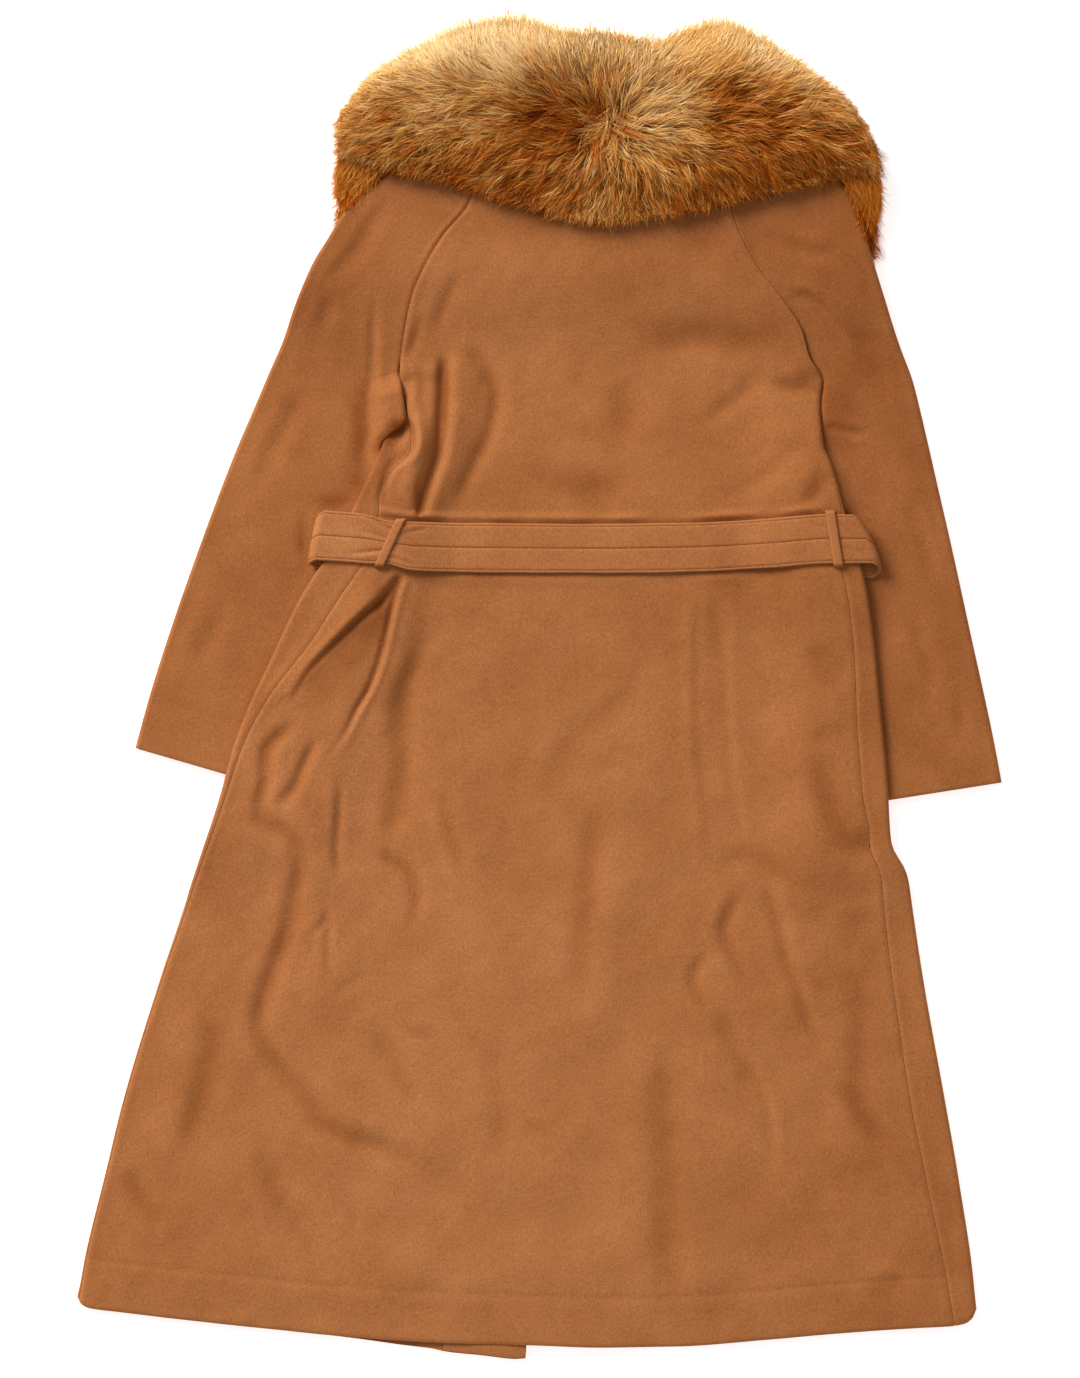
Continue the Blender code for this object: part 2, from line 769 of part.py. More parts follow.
def belt_path(over, under):
    """Middle of the belt all round: x, y and height, from centre front and back to it."""
    turn_l = BELT_LEFT_END + BELT_THICK / 2
    turn_r = BELT_RIGHT_END - BELT_THICK / 2
    edge_l = side_edge(142.0, -1) + 6
    edge_r = side_edge(142.0, 1) - 6
    half = BELT_THICK / 2

    def drop(x):
        return float(fair(x, BELT_LINE["x"], BELT_LINE["drop"]))

    def over_mid(x):
        near = [min(max(x + dx, edge_l), edge_r) for dx in (-8, 0, 8)]
        return max(over(place) for place in near) + REST + half

    def under_mid(x):
        near = [min(max(x + dx, edge_l), edge_r) for dx in (-8, 0, 8)]
        return max(min(under(place) for place in near) - REST - half, half)

    def curl(x_turn, side):
        low, high = under_mid(x_turn), over_mid(x_turn)
        radius = (high - low) / 2
        points = []
        for i in range(9):
            angle = -math.pi / 2 + math.pi * i / 8
            x = x_turn + side * (radius * math.cos(angle) - radius)
            y = float(belt_line(x_turn)) - drop(x_turn) * (1 - i / 8)
            points.append((x, y, (low + high) / 2 + radius * math.sin(angle)))
        return points

    left = curl(turn_l, -1)
    right = curl(turn_r, 1)
    low_start, low_stop = left[0][0], right[0][0]
    path = []
    for x in np.linspace(BELT_BACK_MEET[0], low_start, 24)[:-1]:
        path.append((x, float(belt_line(x)) - drop(x), under_mid(x)))
    path += left
    for x in np.linspace(left[-1][0], right[-1][0], 44)[1:-1]:
        path.append((x, float(belt_line(x)), over_mid(x)))
    path += right[::-1]
    for x in np.linspace(low_stop, BELT_BACK_MEET[1], 24)[1:]:
        path.append((x, float(belt_line(x)) - drop(x), under_mid(x)))
    return path


def belt_rings(path):
    """Flat section of the belt carried along its path."""
    path = np.array(path)
    rings = []
    for i in range(len(path)):
        before = path[max(i - 1, 0)]
        after = path[min(i + 1, len(path) - 1)]
        run = np.array([after[0] - before[0], after[2] - before[2]])
        run = run / np.linalg.norm(run)
        normal = np.array([-run[1], run[0]]) * BELT_THICK / 2
        x, y, z = path[i]
        wide = BELT_WIDE / 2
        rings.append([
            (x + normal[0], y - wide, z + normal[1]),
            (x + normal[0], y + wide, z + normal[1]),
            (x - normal[0], y + wide, z - normal[1]),
            (x - normal[0], y - wide, z - normal[1]),
        ])
    return rings


def loop_grids(row, path, grids):
    """Loop folded over the belt, its ends flat on the panel above and below."""
    x_up, x_down = LOOPS["x_up"][row], LOOPS["x_down"][row]
    top_run = np.array([p for p in path if p[1] == float(belt_line(p[0]))])
    outer = []
    inner = []
    for k in range(len(LOOP_FOLD["t_in"])):
        faces = []
        for face in ("in", "out"):
            t, h = LOOP_FOLD["t_" + face][k], LOOP_FOLD["h_" + face][k]
            x_mid = x_up + (x_down - x_up) * (36.0 - t) / 72.0
            line = []
            for shift in (-LOOP_WIDE / 2, LOOP_WIDE / 2):
                x = x_mid + shift
                y = float(belt_line(x_mid)) + t
                if abs(LOOP_FOLD["t_in"][k]) > 27.0:
                    z = max(top_of(x + dx, y + dy, grids) for dx in (-3, 0, 3)
                            for dy in (-4, 0, 4))
                else:
                    z = max(float(np.interp(x_mid + dx, top_run[:, 0], top_run[:, 2]))
                            for dx in (-6, 0, 6)) - BELT_THICK / 2 - REST
                line.append((x, y, z + h))
            faces.append(line)
        inner.append(faces[0])
        outer.append(faces[1])
    return outer, inner


def top_of(x, y, grids):
    """Height of the panels' top at a point."""
    best = -1e9
    for grid in grids:
        levels = []
        for k, s in enumerate(ROWS):
            if abs(s - y) < 45.0:
                row = np.array(grid[k])
                top = row[row[:, 2] > FOLD_R + body_lift(row[:, 0], row[:, 1])]
                if len(top) < 2:
                    continue
                order = np.argsort(top[:, 0])
                xs, zs = top[order, 0], top[order, 2]
                if xs[0] <= x <= xs[-1]:
                    levels.append((s, float(np.interp(x, xs, zs))))
        if len(levels) > 1:
            levels.sort()
            best = max(best, float(np.interp(y, [a for a, _ in levels], [b for _, b in levels])))
    return best


# Collar

def shoulder_line(x):
    """Edge of the coat that the collar folds over, at x."""
    if x < SHOULDERS["left_x"][-1]:
        return float(fair(x, SHOULDERS["left_x"], SHOULDERS["left_y"]))
    if x > SHOULDERS["right_x"][-1]:
        return float(fair(x, SHOULDERS["right_x"], SHOULDERS["right_y"]))
    return float(SHOULDERS["left_y"][-1])


def collar_ring(x, top, over, under, loft):
    """Section of the collar: a fold of fur, open towards the hem."""
    slot = max(shoulder_line(x) + 6.0, over + 3.0, under + 3.0)
    slot = min(slot, top - 22.0)
    base = FUR_SLOT_TOP
    crown = base + loft
    depth = top - over
    return [
        (x, under, FUR_UNDER * 0.45),
        (x, under + 3.5, 1.2),
        (x, under + 9.0, 0.0),
        (x, under + (top - under) * 0.45, 0.0),
        (x, top - 16.0, 0.0),
        (x, top - 6.0, base * 0.10),
        (x, top - 1.5, base * 0.42),
        (x, top, base * 0.85),
        (x, top - 3.0, base + loft * 0.30),
        (x, top - 10.0, base + loft * 0.62),
        (x, top - 0.16 * depth, base + loft * 0.86),
        (x, top - 0.34 * depth, crown),
        (x, top - 0.58 * depth, crown),
        (x, top - 0.78 * depth, base + loft * 0.88),
        (x, over + 0.09 * depth, base + loft * 0.62),
        (x, over + 0.02 * depth, base + loft * 0.34),
        (x, over, base + loft * 0.12),
        (x, over + 2.0, base),
        (x, slot - 1.5, base),
        (x, slot, (base + FUR_UNDER) / 2),
        (x, slot - 1.5, FUR_UNDER),
        (x, min(under + 12.0, slot - 2.0), FUR_UNDER),
        (x, min(under + 5.0, slot - 2.5), FUR_UNDER * 0.92),
        (x, min(under + 1.2, slot - 2.8), FUR_UNDER * 0.75),
    ]


def collar_rings():
    rings = []
    for k in range(len(COLLAR["x"])):
        rings.append(collar_ring(*[COLLAR[c][k] for c in ("x", "top", "over", "under", "loft")]))
    return rings


def build():
    for item in list(bpy.data.objects):
        bpy.data.objects.remove(item, do_unlink=True)

    wool = cloth_material("camel_wool", (0.42, 0.16, 0.055), 0.9)
    belting = cloth_material("belt_wool", (0.45, 0.18, 0.065), 0.9)
    fur = cloth_material("fox_fur", (0.40, 0.17, 0.05), 0.85)

    back = back_grids()
    left_front = front_grids(-1, LEFT_FRONT_HEM)
    right_front = front_grids(1, BACK_HEM)
    panel_solid("back", *back, wool)
    panel_solid("left_front", *left_front, wool)
    panel_solid("right_front", *right_front, wool)
    panel_solid("left_front_facing", *facing_grids(), wool)
    for side, prefix in ((-1, "left"), (1, "right")):
        panel_solid(prefix + "_sleeve_back", *sleeve_grids(side, True), wool)
        panel_solid(prefix + "_sleeve_front", *sleeve_grids(side, False), wool)

    tops = [back[0], left_front[0], right_front[0]]
    fronts = [left_front[0], right_front[0]]

    def over(x):
        return height_over(x, tops)

    def under(x):
        return height_under(x, fronts)

    path = belt_path(over, under)
    ring_solid("belt", belt_rings(path), belting)
    panel_solid("belt_loop_left", *loop_grids(0, path, tops), belting)
    panel_solid("belt_loop_right", *loop_grids(1, path, tops), belting)
    ring_solid("fur_collar", collar_rings(), fur)


build()
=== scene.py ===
"""Long belted overcoat of camel wool melton with a round fox fur collar, laid flat face down."""
import math

import bpy
import numpy as np
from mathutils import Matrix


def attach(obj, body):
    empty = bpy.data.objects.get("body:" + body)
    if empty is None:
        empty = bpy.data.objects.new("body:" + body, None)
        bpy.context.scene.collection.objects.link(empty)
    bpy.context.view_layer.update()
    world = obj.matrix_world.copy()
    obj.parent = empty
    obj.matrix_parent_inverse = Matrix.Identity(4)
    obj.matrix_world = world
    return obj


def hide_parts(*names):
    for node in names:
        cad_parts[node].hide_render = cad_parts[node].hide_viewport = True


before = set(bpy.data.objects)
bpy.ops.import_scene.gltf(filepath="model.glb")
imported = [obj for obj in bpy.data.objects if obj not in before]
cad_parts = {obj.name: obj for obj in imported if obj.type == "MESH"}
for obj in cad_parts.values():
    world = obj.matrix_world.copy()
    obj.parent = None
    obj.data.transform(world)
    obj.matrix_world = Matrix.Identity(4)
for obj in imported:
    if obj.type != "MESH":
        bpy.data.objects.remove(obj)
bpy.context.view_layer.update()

bpy.ops.object.select_all(action="DESELECT")

# All sizes are in millimetres. Sides are -1 at the left and 1 at the right
MM = 0.001
WORD = {-1: "left", 1: "right"}

# Cloth and the way its layers lie on each other
CLOTH = 2.5
SEAM_GAP = 0.4
REST = 0.3
FLAT = 8.8
LAP = CLOTH + REST
FACING_THICK = 1.7
FACING_ROOM = 1.6
FOLD_R = FLAT / 2
QUARTER = math.pi / 2 * (FOLD_R - CLOTH / 2)

# Distance from an edge or a seam that stands for too far away to shape the cloth
FAR = 100

# Landmarks along the coat
ARMPIT_Y = 298
ABOVE_ARMPIT_Y = 322
NECK_Y = 568
NECK_START_Y = 440
HEM_START_Y = -450
HEM_ROW = -600
NECK_MID_X = 60.5
NECK_HALF = 97
BACK_NECK_DROP = 10
FRONT_NECK_DROP = 80

# Sleeves under the body
ARMPIT_X = {-1: -135.8, 1: 273}
CUFF_INNER = {-1: (-242.9, -96.5), 1: (293.8, -110.5)}
SLEEVE_LIFT = FLAT + REST
SLEEVE_LIFT_Y = (292, 236)
SLEEVE_DROP_Y = (-122, -226)
SLEEVE_RAMP = (26, 88)
OVERARM_SEAM = 5.1
OVERARM_GAP = 0.1

# Underarm of the left sleeve, which bulges over the side of the body: how far its edge
# comes out over the body, and the span over which it stands up
BULGE_HIGH = 9.6
BULGE_SIDE = (-163.5, -157)
BULGE_TOP = (308, 289)
BULGE_END = (198, 222)

# Belt
BELT_WIDE = 47.4
BELT_HALF = BELT_WIDE / 2
BELT_THICK = 4.5
BELT_ENDS = {-1: -222.7, 1: 328}
BELT_BACK_MEET = (57, 63)
BELT_LIFT = BELT_THICK + REST
BELT_ROOM_UP = 34
BELT_ROOM_DOWN = 42
BELT_RAMP = 85
LEFT_LOOP_X = -146

# Fur
FUR_UNDER = 16
COLLAR_LIFT = FUR_UNDER + REST
COLLAR_RAMP_Y = (300, 420)
FUR_SLOT_TOP = COLLAR_LIFT + FLAT + REST + 0.1


def table(columns, rows):
    """Columns of a table by name."""
    return dict(zip(columns.split(), np.array(rows, dtype=float).T))


# Side edges of the body, from the armpits to the hem
SIDES = table("y left right", [
    (298, -135.4, 272.6), (270, -142.4, 269.8), (236, -151.8, 272.4), (222, -158.6, 278.6),
    (208, -164.5, 283), (174, -180.5, 291.8), (146, -194.5, 300.5), (120, -211.6, 308.6),
    (87, -232, 315.4), (37, -255.8, 322), (-10, -277.9, 326.6), (-54, -294.8, 331),
    (-94, -305.6, 334.1), (-123, -314.5, 335.5), (-146, -322.4, 337.6), (-159, -326.8, 344),
    (-172, -331.2, 351.6), (-187, -336.2, 355.2), (-200, -340, 357), (-277, -365.6, 368.6),
    (-392, -400.6, 389.2), (-468, -419, 402.6), (-545, -436.6, 414.6), (-600, -445, 419.6),
])

# How far the fronts wrap round the side edges, along the cloth
WRAPS = table("y left right", [
    (298, 0, 0), (284, 8, 1.4), (270, 15, 2.2), (254, 22, 2.6), (238, 27.5, 2.8), (229, 29.5, 2.8),
    (219, 25.5, 2.8), (207, 19.5, 2.8), (193, 19, 2.8), (172, 27, 4), (146, 34, 11),
    (120, 40, 20.5), (87, 37.5, 20.5), (54, 32.5, 21), (26, 24.5, 22), (-1, 16.5, 23.5),
    (-43, 10, 26), (-92, 6.5, 26), (-135, 5, 21), (-166, 4.4, 26), (-208, 3.8, 28.5),
    (-313, 2.8, 32), (-397, 2.6, 34.5), (-475, 2.6, 32), (-560, 2.6, 26), (-600, 2.6, 22),
])

# Raglan seams, from the armpits to the neck
RAGLANS = table("y left right", [
    (298, -135.8, 273), (322, -133.8, 258.5), (348, -129.6, 250.9), (378, -123.6, 231),
    (410, -109.8, 206.5), (438, -92.6, 191.5), (466, -69.4, 181.5), (520, -49.9, 169),
    (568, -36.5, 157.4),
])

# Shoulder edges of the sleeves, from beside the armpit to the neck
SHOULDERS = table("part left_x left_y right_x right_y", [
    (0, -246.7, 337.9, 358, 300), (0.12, -233.3, 376.3, 343, 340),
    (0.24, -216, 414.7, 331.2, 376.3), (0.36, -204.5, 433, 318.5, 416),
    (0.48, -187.2, 460.8, 308, 450), (0.62, -148.8, 496.3, 289, 490),
    (0.8, -105.6, 528, 249.6, 526), (1, -59.5, 571, 180.5, 571),
])

# Outer edges of the sleeves from the cuffs to beside the armpit
SLEEVE_EDGES = table("part left_x left_y right_x right_y", [
    (0, -389, -54, 443.8, -87), (0.1, -377.5, -11, 436.5, -48), (0.25, -358.8, 49, 423.5, 13),
    (0.4, -339, 107, 410.5, 71.5), (0.55, -318, 165, 398, 129.5), (0.7, -296, 223, 385, 186),
    (0.85, -271.5, 280.5, 372, 243), (1, -247.2, 337.9, 358.6, 300),
])

# How far the left underarm comes out over the body
BULGE_EDGE = table("y out", [
    (306, 0), (290, 5.5), (276, 12), (266, 16), (260, 17.4), (254, 14.5), (249, 8.7), (243, 3.9),
    (237, 1.2), (228, 0),
])

# Hem lines
BACK_HEM = table("x y", [
    (-445, -581), (-441, -588), (-433, -592), (-403, -596), (-326, -605), (-250, -613),
    (-206, -617.5), (-96, -625), (-10, -627.5), (58, -629.8), (134, -628.8), (211, -623),
    (288, -616.3), (365, -611), (394, -609.5), (408, -607), (415, -602), (420, -592),
])
LEFT_FRONT_HEM = table("x y", [
    (-445, -581), (-441, -588), (-433, -592), (-403, -596), (-326, -605), (-250, -613),
    (-206, -618), (-173, -622), (-134, -627.5), (-97, -632), (-93, -633.5), (-57, -637.4),
    (-19, -641.3), (-12, -640),
])
HEMS = {-1: LEFT_FRONT_HEM, 1: BACK_HEM}

# Front edges, where each front ends past the centre
FRONT_EDGES = table("y left right", [
    (-641, -14, -106), (-600, -11, -102), (0, 44, -38), (500, 95, 25), (568, 98, 23),
])

# Places where the cloth is made darker or paler: partly nap that lies differently, and partly
# painted shade, as the band under the collar, the crevice below the left underarm and the spot
# above the belt's left end
NAP_AND_SHADE = table("x y wide long tone", [
    (0, 470, 420, 80, -0.07), (-220, 380, 70, 90, -0.14), (300, 360, 80, 130, -0.2),
    (380, 80, 90, 200, -0.13), (-280, 100, 80, 200, -0.08), (-60, -330, 240, 240, 0.15),
    (-40, -560, 300, 90, 0.1), (340, -560, 120, 90, -0.04), (20, 330, 90, 70, 0.06),
    (-60, 400, 50, 80, 0.07), (60, 205, 130, 40, -0.06), (170, 90, 60, 40, -0.1),
    (-137, 256, 10, 7, -0.5), (-146, 244, 9, 8, -0.4), (-154, 234, 8, 8, -0.25),
    (-175, 250, 8, 46, -0.34), (-118, 190, 4, 20, -0.35), (-38, 450, 60, 22, -0.17),
    (173, 432, 60, 24, -0.15), (-182, 434, 20, 40, -0.12), (58, 378, 34, 30, -0.1),
    (-96, 272, 11, 30, -0.2), (-149, 203, 10, 24, -0.18), (-182, 203, 20, 20, -0.16),
    (-62, 190, 40, 22, -0.14), (-161, 110, 20, 12, -0.16), (-53, 110, 22, 13, -0.1),
    (286, 271, 18, 30, -0.18), (312, 178, 14, 26, -0.12), (226, 84, 26, 44, -0.13),
    (166, 40, 22, 30, 0.12), (-178, -84, 26, 46, 0.22), (331, -200, 18, 24, 0.22),
    (-326, -555, 50, 22, -0.07), (340, -603, 34, 22, -0.1), (370, -60, 30, 18, -0.09),
    (106, 252, 40, 30, -0.09), (-154, 357, 18, 26, 0.12), (-77, -36, 32, 34, 0.14),
    (-62, -200, 32, 54, 0.14), (-115, -372, 32, 44, 0.14), (-120, -488, 50, 20, 0.12),
    (-220, -150, 90, 120, 0.08), (-152, 84, 9, 22, -0.26), (-166, 62, 15, 20, -0.2),
    (-184, 36, 17, 20, -0.18), (-206, 8, 18, 18, -0.14), (-197, 184, 20, 7, -0.28),
    (-230, 150, 5, 22, -0.26), (-194, 147, 30, 24, 0.2), (-172, 196, 12, 9, -0.12),
])

# Largest folds of the back: the crest runs down through three points, and each side has its
# own width
FOLDS = table("x0 y0 x1 y1 x2 y2 high left right", [
    (-126, 304, -115, 240, -131, 190, 7.2, 10.5, 10.5),
    (-74, 326, -80, 240, -101, 178, 6.6, 12, 19), (-139, 119, -187, 63, -241, 1, 4.2, 17, 6.5),
    (-119, 112, -131, 50, -158, -44, 3.8, 18, 15),
    (-170, -60, -190, -180, -215, -330, 2.6, 30, 30),
    (-95, -40, -70, -190, -45, -330, 2.4, 26, 26), (100, -60, 75, -180, 50, -330, 2.2, 30, 30),
    (228, -160, 262, -290, 300, -400, 2.4, 24, 24),
    (-280, -250, -180, -390, -60, -450, 2.2, 28, 28),
])

# Creases, each drawn from its upper end: depth of the trough, rise of the cloth to the left
# and right of it, half width, shares over which its two ends fade, and x, y of its points
BACK_CREASES = [
    [2.5, 1, 0.9, 5.5, 0.12, 0.04, -94, 325, -93, 305, -94, 272, -97, 235, -104, 211, -110, 190,
     -116, 169],
    [1.9, 0.4, 0.3, 2, 0.3, 0.02, -99, 230, -105, 208, -111, 188, -117, 169],
    [1.1, 0.2, 0.4, 7, 0.4, 0.2, -75, 357, -65, 326, -52, 308, -42, 284, -49, 247, -61, 223, -75,
     192, -85, 171],
    [0.8, 0.4, 0, 7, 0.4, 0.4, -71, 411, -93, 367, -107, 337],
    [0.8, 0.4, 0.1, 5, 0.4, 0.3, -113, 363, -121, 336, -128, 319],
    [2.3, 0.2, 1.3, 4, 0.1, 0.3, -129, 265, -124, 252, -123, 237, -130, 226, -142, 218, -148, 207,
     -151, 192, -148, 174],
    [1.5, 0.4, 0, 15.6, 0.3, 0.4, 85, 350, 120, 339, 158, 342, 201, 336, 245, 345],
    [1.2, 0.5, 0.1, 6, 0.4, 0.05, 215, 301, 240, 292, 267, 294],
    [1.4, 0.2, 0.4, 7, 0.3, 0.4, 279, 218, 264, 193, 246, 181],
    [1.2, 0.4, 0, 14.4, 0.4, 0.4, 69, 303, 81, 269, 79, 236],
    [1, 0, 0.4, 14.4, 0.4, 0.4, -34, 226, 12, 201, 62, 195, 100, 209],
    [0.7, 0.4, 0.1, 8, 0.4, 0.4, 143, 247, 176, 274, 209, 299, 231, 314],
    [0.7, 0.4, 0, 9, 0.4, 0.4, 168, 181, 205, 202, 243, 231, 268, 253],
    [1.5, 0.6, 0, 3.4, 0.03, 0.4, -135, 114, -142, 99, -153, 85, -169, 73, -187, 56, -205, 38,
     -224, 17, -235, -3, -243, -20],
    [1.7, 0, 0.9, 3, 0.03, 0.45, -133, 112, -140, 89, -147, 58, -153, 34, -163, 6, -176, -17, -185,
     -36, -197, -54, -212, -74],
    [1.5, 0.3, 0.4, 5.5, 0.3, 0.3, -211, -40, -219, -55, -227, -71, -235, -91, -247, -103, -261,
     -110],
    [1.7, 0.2, 0.4, 6.5, 0.3, 0.1, -228, -25, -252, -44, -263, -60, -263, -83, -269, -106, -271,
     -118],
    [1.6, 0.4, 0.3, 9, 0.02, 0.25, -274, -112, -264, -126, -247, -135, -236, -145, -230, -166,
     -235, -193, -242, -227, -257, -271, -268, -303, -269, -321, -262, -344, -244, -370, -222, -393,
     -209, -415, -185, -427, -148, -439, -113, -452, -74, -462],
    [1.5, 0.2, 0.3, 11, 0.4, 0.12, -106, 87, -115, 40, -131, -5, -132, -64, -137, -107, -146,
     -147],
    [1.5, 0.3, 0.4, 6, 0.08, 0.4, -152, -152, -142, -163, -127, -173, -119, -190, -118, -206, -123,
     -234],
    [1.1, 0.4, 0.1, 4.4, 0.3, 0.3, -193, -77, -193, -116, -195, -156, -189, -187],
    [0.8, 0.2, 0.1, 3.8, 0.3, 0.3, -208, -195, -204, -226, -204, -257, -198, -288],
    [0.7, 0.1, 0.1, 3.1, 0.3, 0.3, -224, -231, -212, -226, -205, -214],
    [0.5, 0.1, 0.1, 3.1, 0.3, 0.3, -218, -218, -208, -227, -199, -234],
    [0.7, 0.1, 0.1, 3.8, 0.2, 0.4, -198, -288, -186, -282, -166, -272],
    [1.1, 0.4, 0, 6.2, 0.3, 0.3, -98, -94, -87, -132, -72, -176, -64, -190],
    [0.6, 0.1, 0, 12.6, 0.3, 0.4, -53, -142, -35, -176, -15, -197, 5, -220],
    [1.2, 0.2, 0.2, 12.6, 0.3, 0.3, -340, -307, -317, -328, -320, -370, -333, -414, -341, -458],
    [1.1, 0.2, 0.2, 9.8, 0.3, 0.3, -398, -452, -382, -491, -357, -520],
    [1.1, 0.2, 0.2, 11.2, 0.3, 0.3, -265, -423, -261, -462, -242, -501, -218, -540, -203, -571],
    [1.1, 0.2, 0.2, 9.8, 0.3, 0.3, -167, -313, -148, -344, -127, -381, -109, -407],
    [0.7, 0.1, 0.1, 5, 0.3, 0.3, -133, -322, -116, -330, -98, -330],
    [0.9, 0.2, 0.1, 11.2, 0.3, 0.3, -70, -322, -46, -360, -38, -423, -46, -464],
    [0.5, 0.1, 0.1, 6.2, 0.3, 0.3, -21, -407, -4, -420, 17, -422],
    [0.5, 0.1, 0.1, 5, 0.3, 0.3, -185, -481, -179, -499, -175, -520],
    [0.7, 0.2, 0.1, 12.6, 0.3, 0.3, 110, 37, 71, -17, 32, -48, 11, -92, 5, -131],
    [1.2, 0.2, 0.4, 12.6, 0.2, 0.3, 57, -103, 51, -145, 47, -188, 41, -252, 40, -316],
    [0.4, 0.4, 0, 4.4, 0.1, 0.2, 151, 97, 151, -31, 158, -109, 166, -182],
    [0.4, 0, 0.4, 4.4, 0.15, 0.2, 175, 78, 179, -31, 186, -101, 197, -168],
    [0.6, 0.1, 0.3, 8.4, 0.2, 0.4, 171, 96, 167, 72, 171, 43, 177, 17],
    [1.2, 0.4, 0.1, 14, 0.3, 0.2, 127, -323, 119, -377, 122, -455, 123, -541, 134, -612],
    [0.8, 0.2, 0.1, 9.8, 0.2, 0.4, 169, -179, 188, -159, 218, -165, 250, -184, 283, -187],
    [1.4, 0.4, 0.2, 6.2, 0.2, 0.3, 195, -187, 182, -211, 176, -234, 187, -258, 200, -277, 209,
     -284],
    [1.3, 0.2, 0.5, 6, 0.12, 0.3, 213, -186, 227, -219, 238, -262, 251, -301, 263, -332, 276,
     -358],
    [0.6, 0.2, 0.1, 9, 0.3, 0.4, 240, -262, 262, -280, 282, -289],
    [0.8, 0.4, 0.1, 8, 0.3, 0.3, 284, -368, 309, -408, 344, -444],
    [1.2, 0.2, 0.1, 5.6, 0.25, 0.25, 163, -248, 148, -270, 151, -292, 167, -307],
    [0.9, 0.2, 0.1, 8.4, 0.2, 0.4, 172, -305, 187, -344, 198, -365, 204, -403],
    [0.6, 0, 0.9, 4.6, 0.2, 0.35, 194, -350, 211, -378, 220, -410, 222, -442, 218, -480],
    [0.9, 0.2, 0.1, 11.2, 0.3, 0.3, 314, -205, 300, -231, 294, -256],
    [0.9, 0.2, 0, 11.2, 0.2, 0.3, 298, -259, 308, -314, 305, -376, 312, -412, 322, -438, 321,
     -471],
    [1.5, 0.2, 0.2, 12.6, 0.3, 0.1, 264, -51, 274, -95, 283, -126, 301, -147, 324, -138],
    [0.5, 0.2, 0.1, 10, 0.4, 0.3, 258, 50, 272, 20, 284, -12],
    [0.5, 0.1, 0.1, 9.8, 0.3, 0.3, 264, -31, 279, -39, 298, -37],
    [0.9, 0.2, 0.1, 11.2, 0.4, 0.3, 359, -567, 334, -573, 322, -590],
]
SLEEVE_CREASES = [
    [2, 0.1, 0.9, 4.4, 0.4, 0.3, -158, 392, -160, 352, -161, 314, -164, 288, -166, 262, -168, 236,
     -173, 206],
    [2.2, 0.3, 0.9, 5, 0.2, 0.3, 236, 380, 254, 378, 270, 367, 283, 351, 297, 333],
    [1.7, 0.3, 0.6, 4.2, 0.15, 0.4, 278, 256, 298, 250, 320, 246],
    [1.4, 0.6, 0.3, 9, 0.3, 0.3, -145, 476, -162, 444, -178, 419, -202, 399, -218, 392],
    [1.1, 0.4, 0.2, 8, 0.4, 0.4, -199, 385, -206, 361, -213, 338],
    [2.2, 0.5, 1.2, 5, 0.1, 0.4, -126, 263, -139, 252, -154, 234, -164, 209, -180, 174],
    [1.2, 0.3, 0.5, 9, 0.3, 0.4, -222, 300, -240, 262, -262, 220, -276, 180],
    [1.1, 0.4, 0.3, 10, 0.3, 0.4, -300, 90, -316, 52, -338, 20],
    [1.7, 0.3, 0.6, 7, 0.2, 0.35, 214, 442, 232, 430, 256, 422, 290, 414],
    [1.2, 0.4, 0.3, 10, 0.3, 0.4, 300, 352, 322, 318, 338, 276],
    [1.5, 0.4, 0.5, 9, 0.3, 0.4, 352, 190, 372, 140, 380, 96],
    [1.5, 0.3, 0.6, 7, 0.25, 0.4, 352, 66, 366, 50, 376, 24, 378, -4],
    [1.3, 0.3, 0.5, 8, 0.3, 0.4, 398, 10, 406, -20, 404, -54],
]

# Creases of the hidden fronts, soft and shallow, on the side that lies down
FRONT_CREASES = [
    [0.7, 0, 0, 10, 0.3, 0.4, -150, 96, -190, 30, -230, -40],
    [0.6, 0, 0, 12, 0.3, 0.4, -90, 90, -120, 0, -128, -90],
    [0.7, 0, 0, 11, 0.3, 0.4, -240, -140, -262, -280, -210, -400],
    [0.5, 0, 0, 14, 0.3, 0.4, -330, -300, -318, -380, -346, -470],
    [0.6, 0, 0, 12, 0.3, 0.4, 120, 96, 150, 20, 158, -80],
    [0.7, 0, 0, 10, 0.3, 0.4, 230, 92, 256, -10, 290, -110],
    [0.6, 0, 0, 13, 0.3, 0.4, 180, -190, 236, -300, 300, -420],
    [0.5, 0, 0, 14, 0.3, 0.4, 40, -120, 34, -260, 44, -380],
    [0.6, 0, 0, 9, 0.3, 0.3, -96, 300, -104, 240, -118, 186],
    [0.6, 0, 0, 9, 0.3, 0.3, 240, 296, 250, 240, 262, 190],
]

# Centre line of the belt over the back, and how much lower it runs under the fronts
BELT_LINE = table("x y drop", [
    (-223, 150.5, 8), (-176, 147.6, 8), (-147, 143.6, 8), (-122, 139.8, 8), (-68, 138.4, 8),
    (56, 137.6, 8), (147, 138.8, 8), (220, 142.6, 10), (280, 146.8, 12), (328, 146.5, 14),
])

# Slant of the fold at each end of the belt: its upper edge turns sooner than its lower
BELT_SLANT = {-1: 9, 1: 19}

# Creases where a loop gathers the belt: place, direction in degrees, length and depth
BELT_CREASES = table("x w turn long deep", [
    (-140, 13, 158, 44, 1.9), (-149, -9, 192, 40, 1.8), (-146, 4, 172, 30, 1.1),
    (-130, 12, 14, 26, 1), (-146, -14, 350, 34, 1), (276, 9, 160, 20, 0.5),
    (290, -8, 340, 24, 0.6),
])

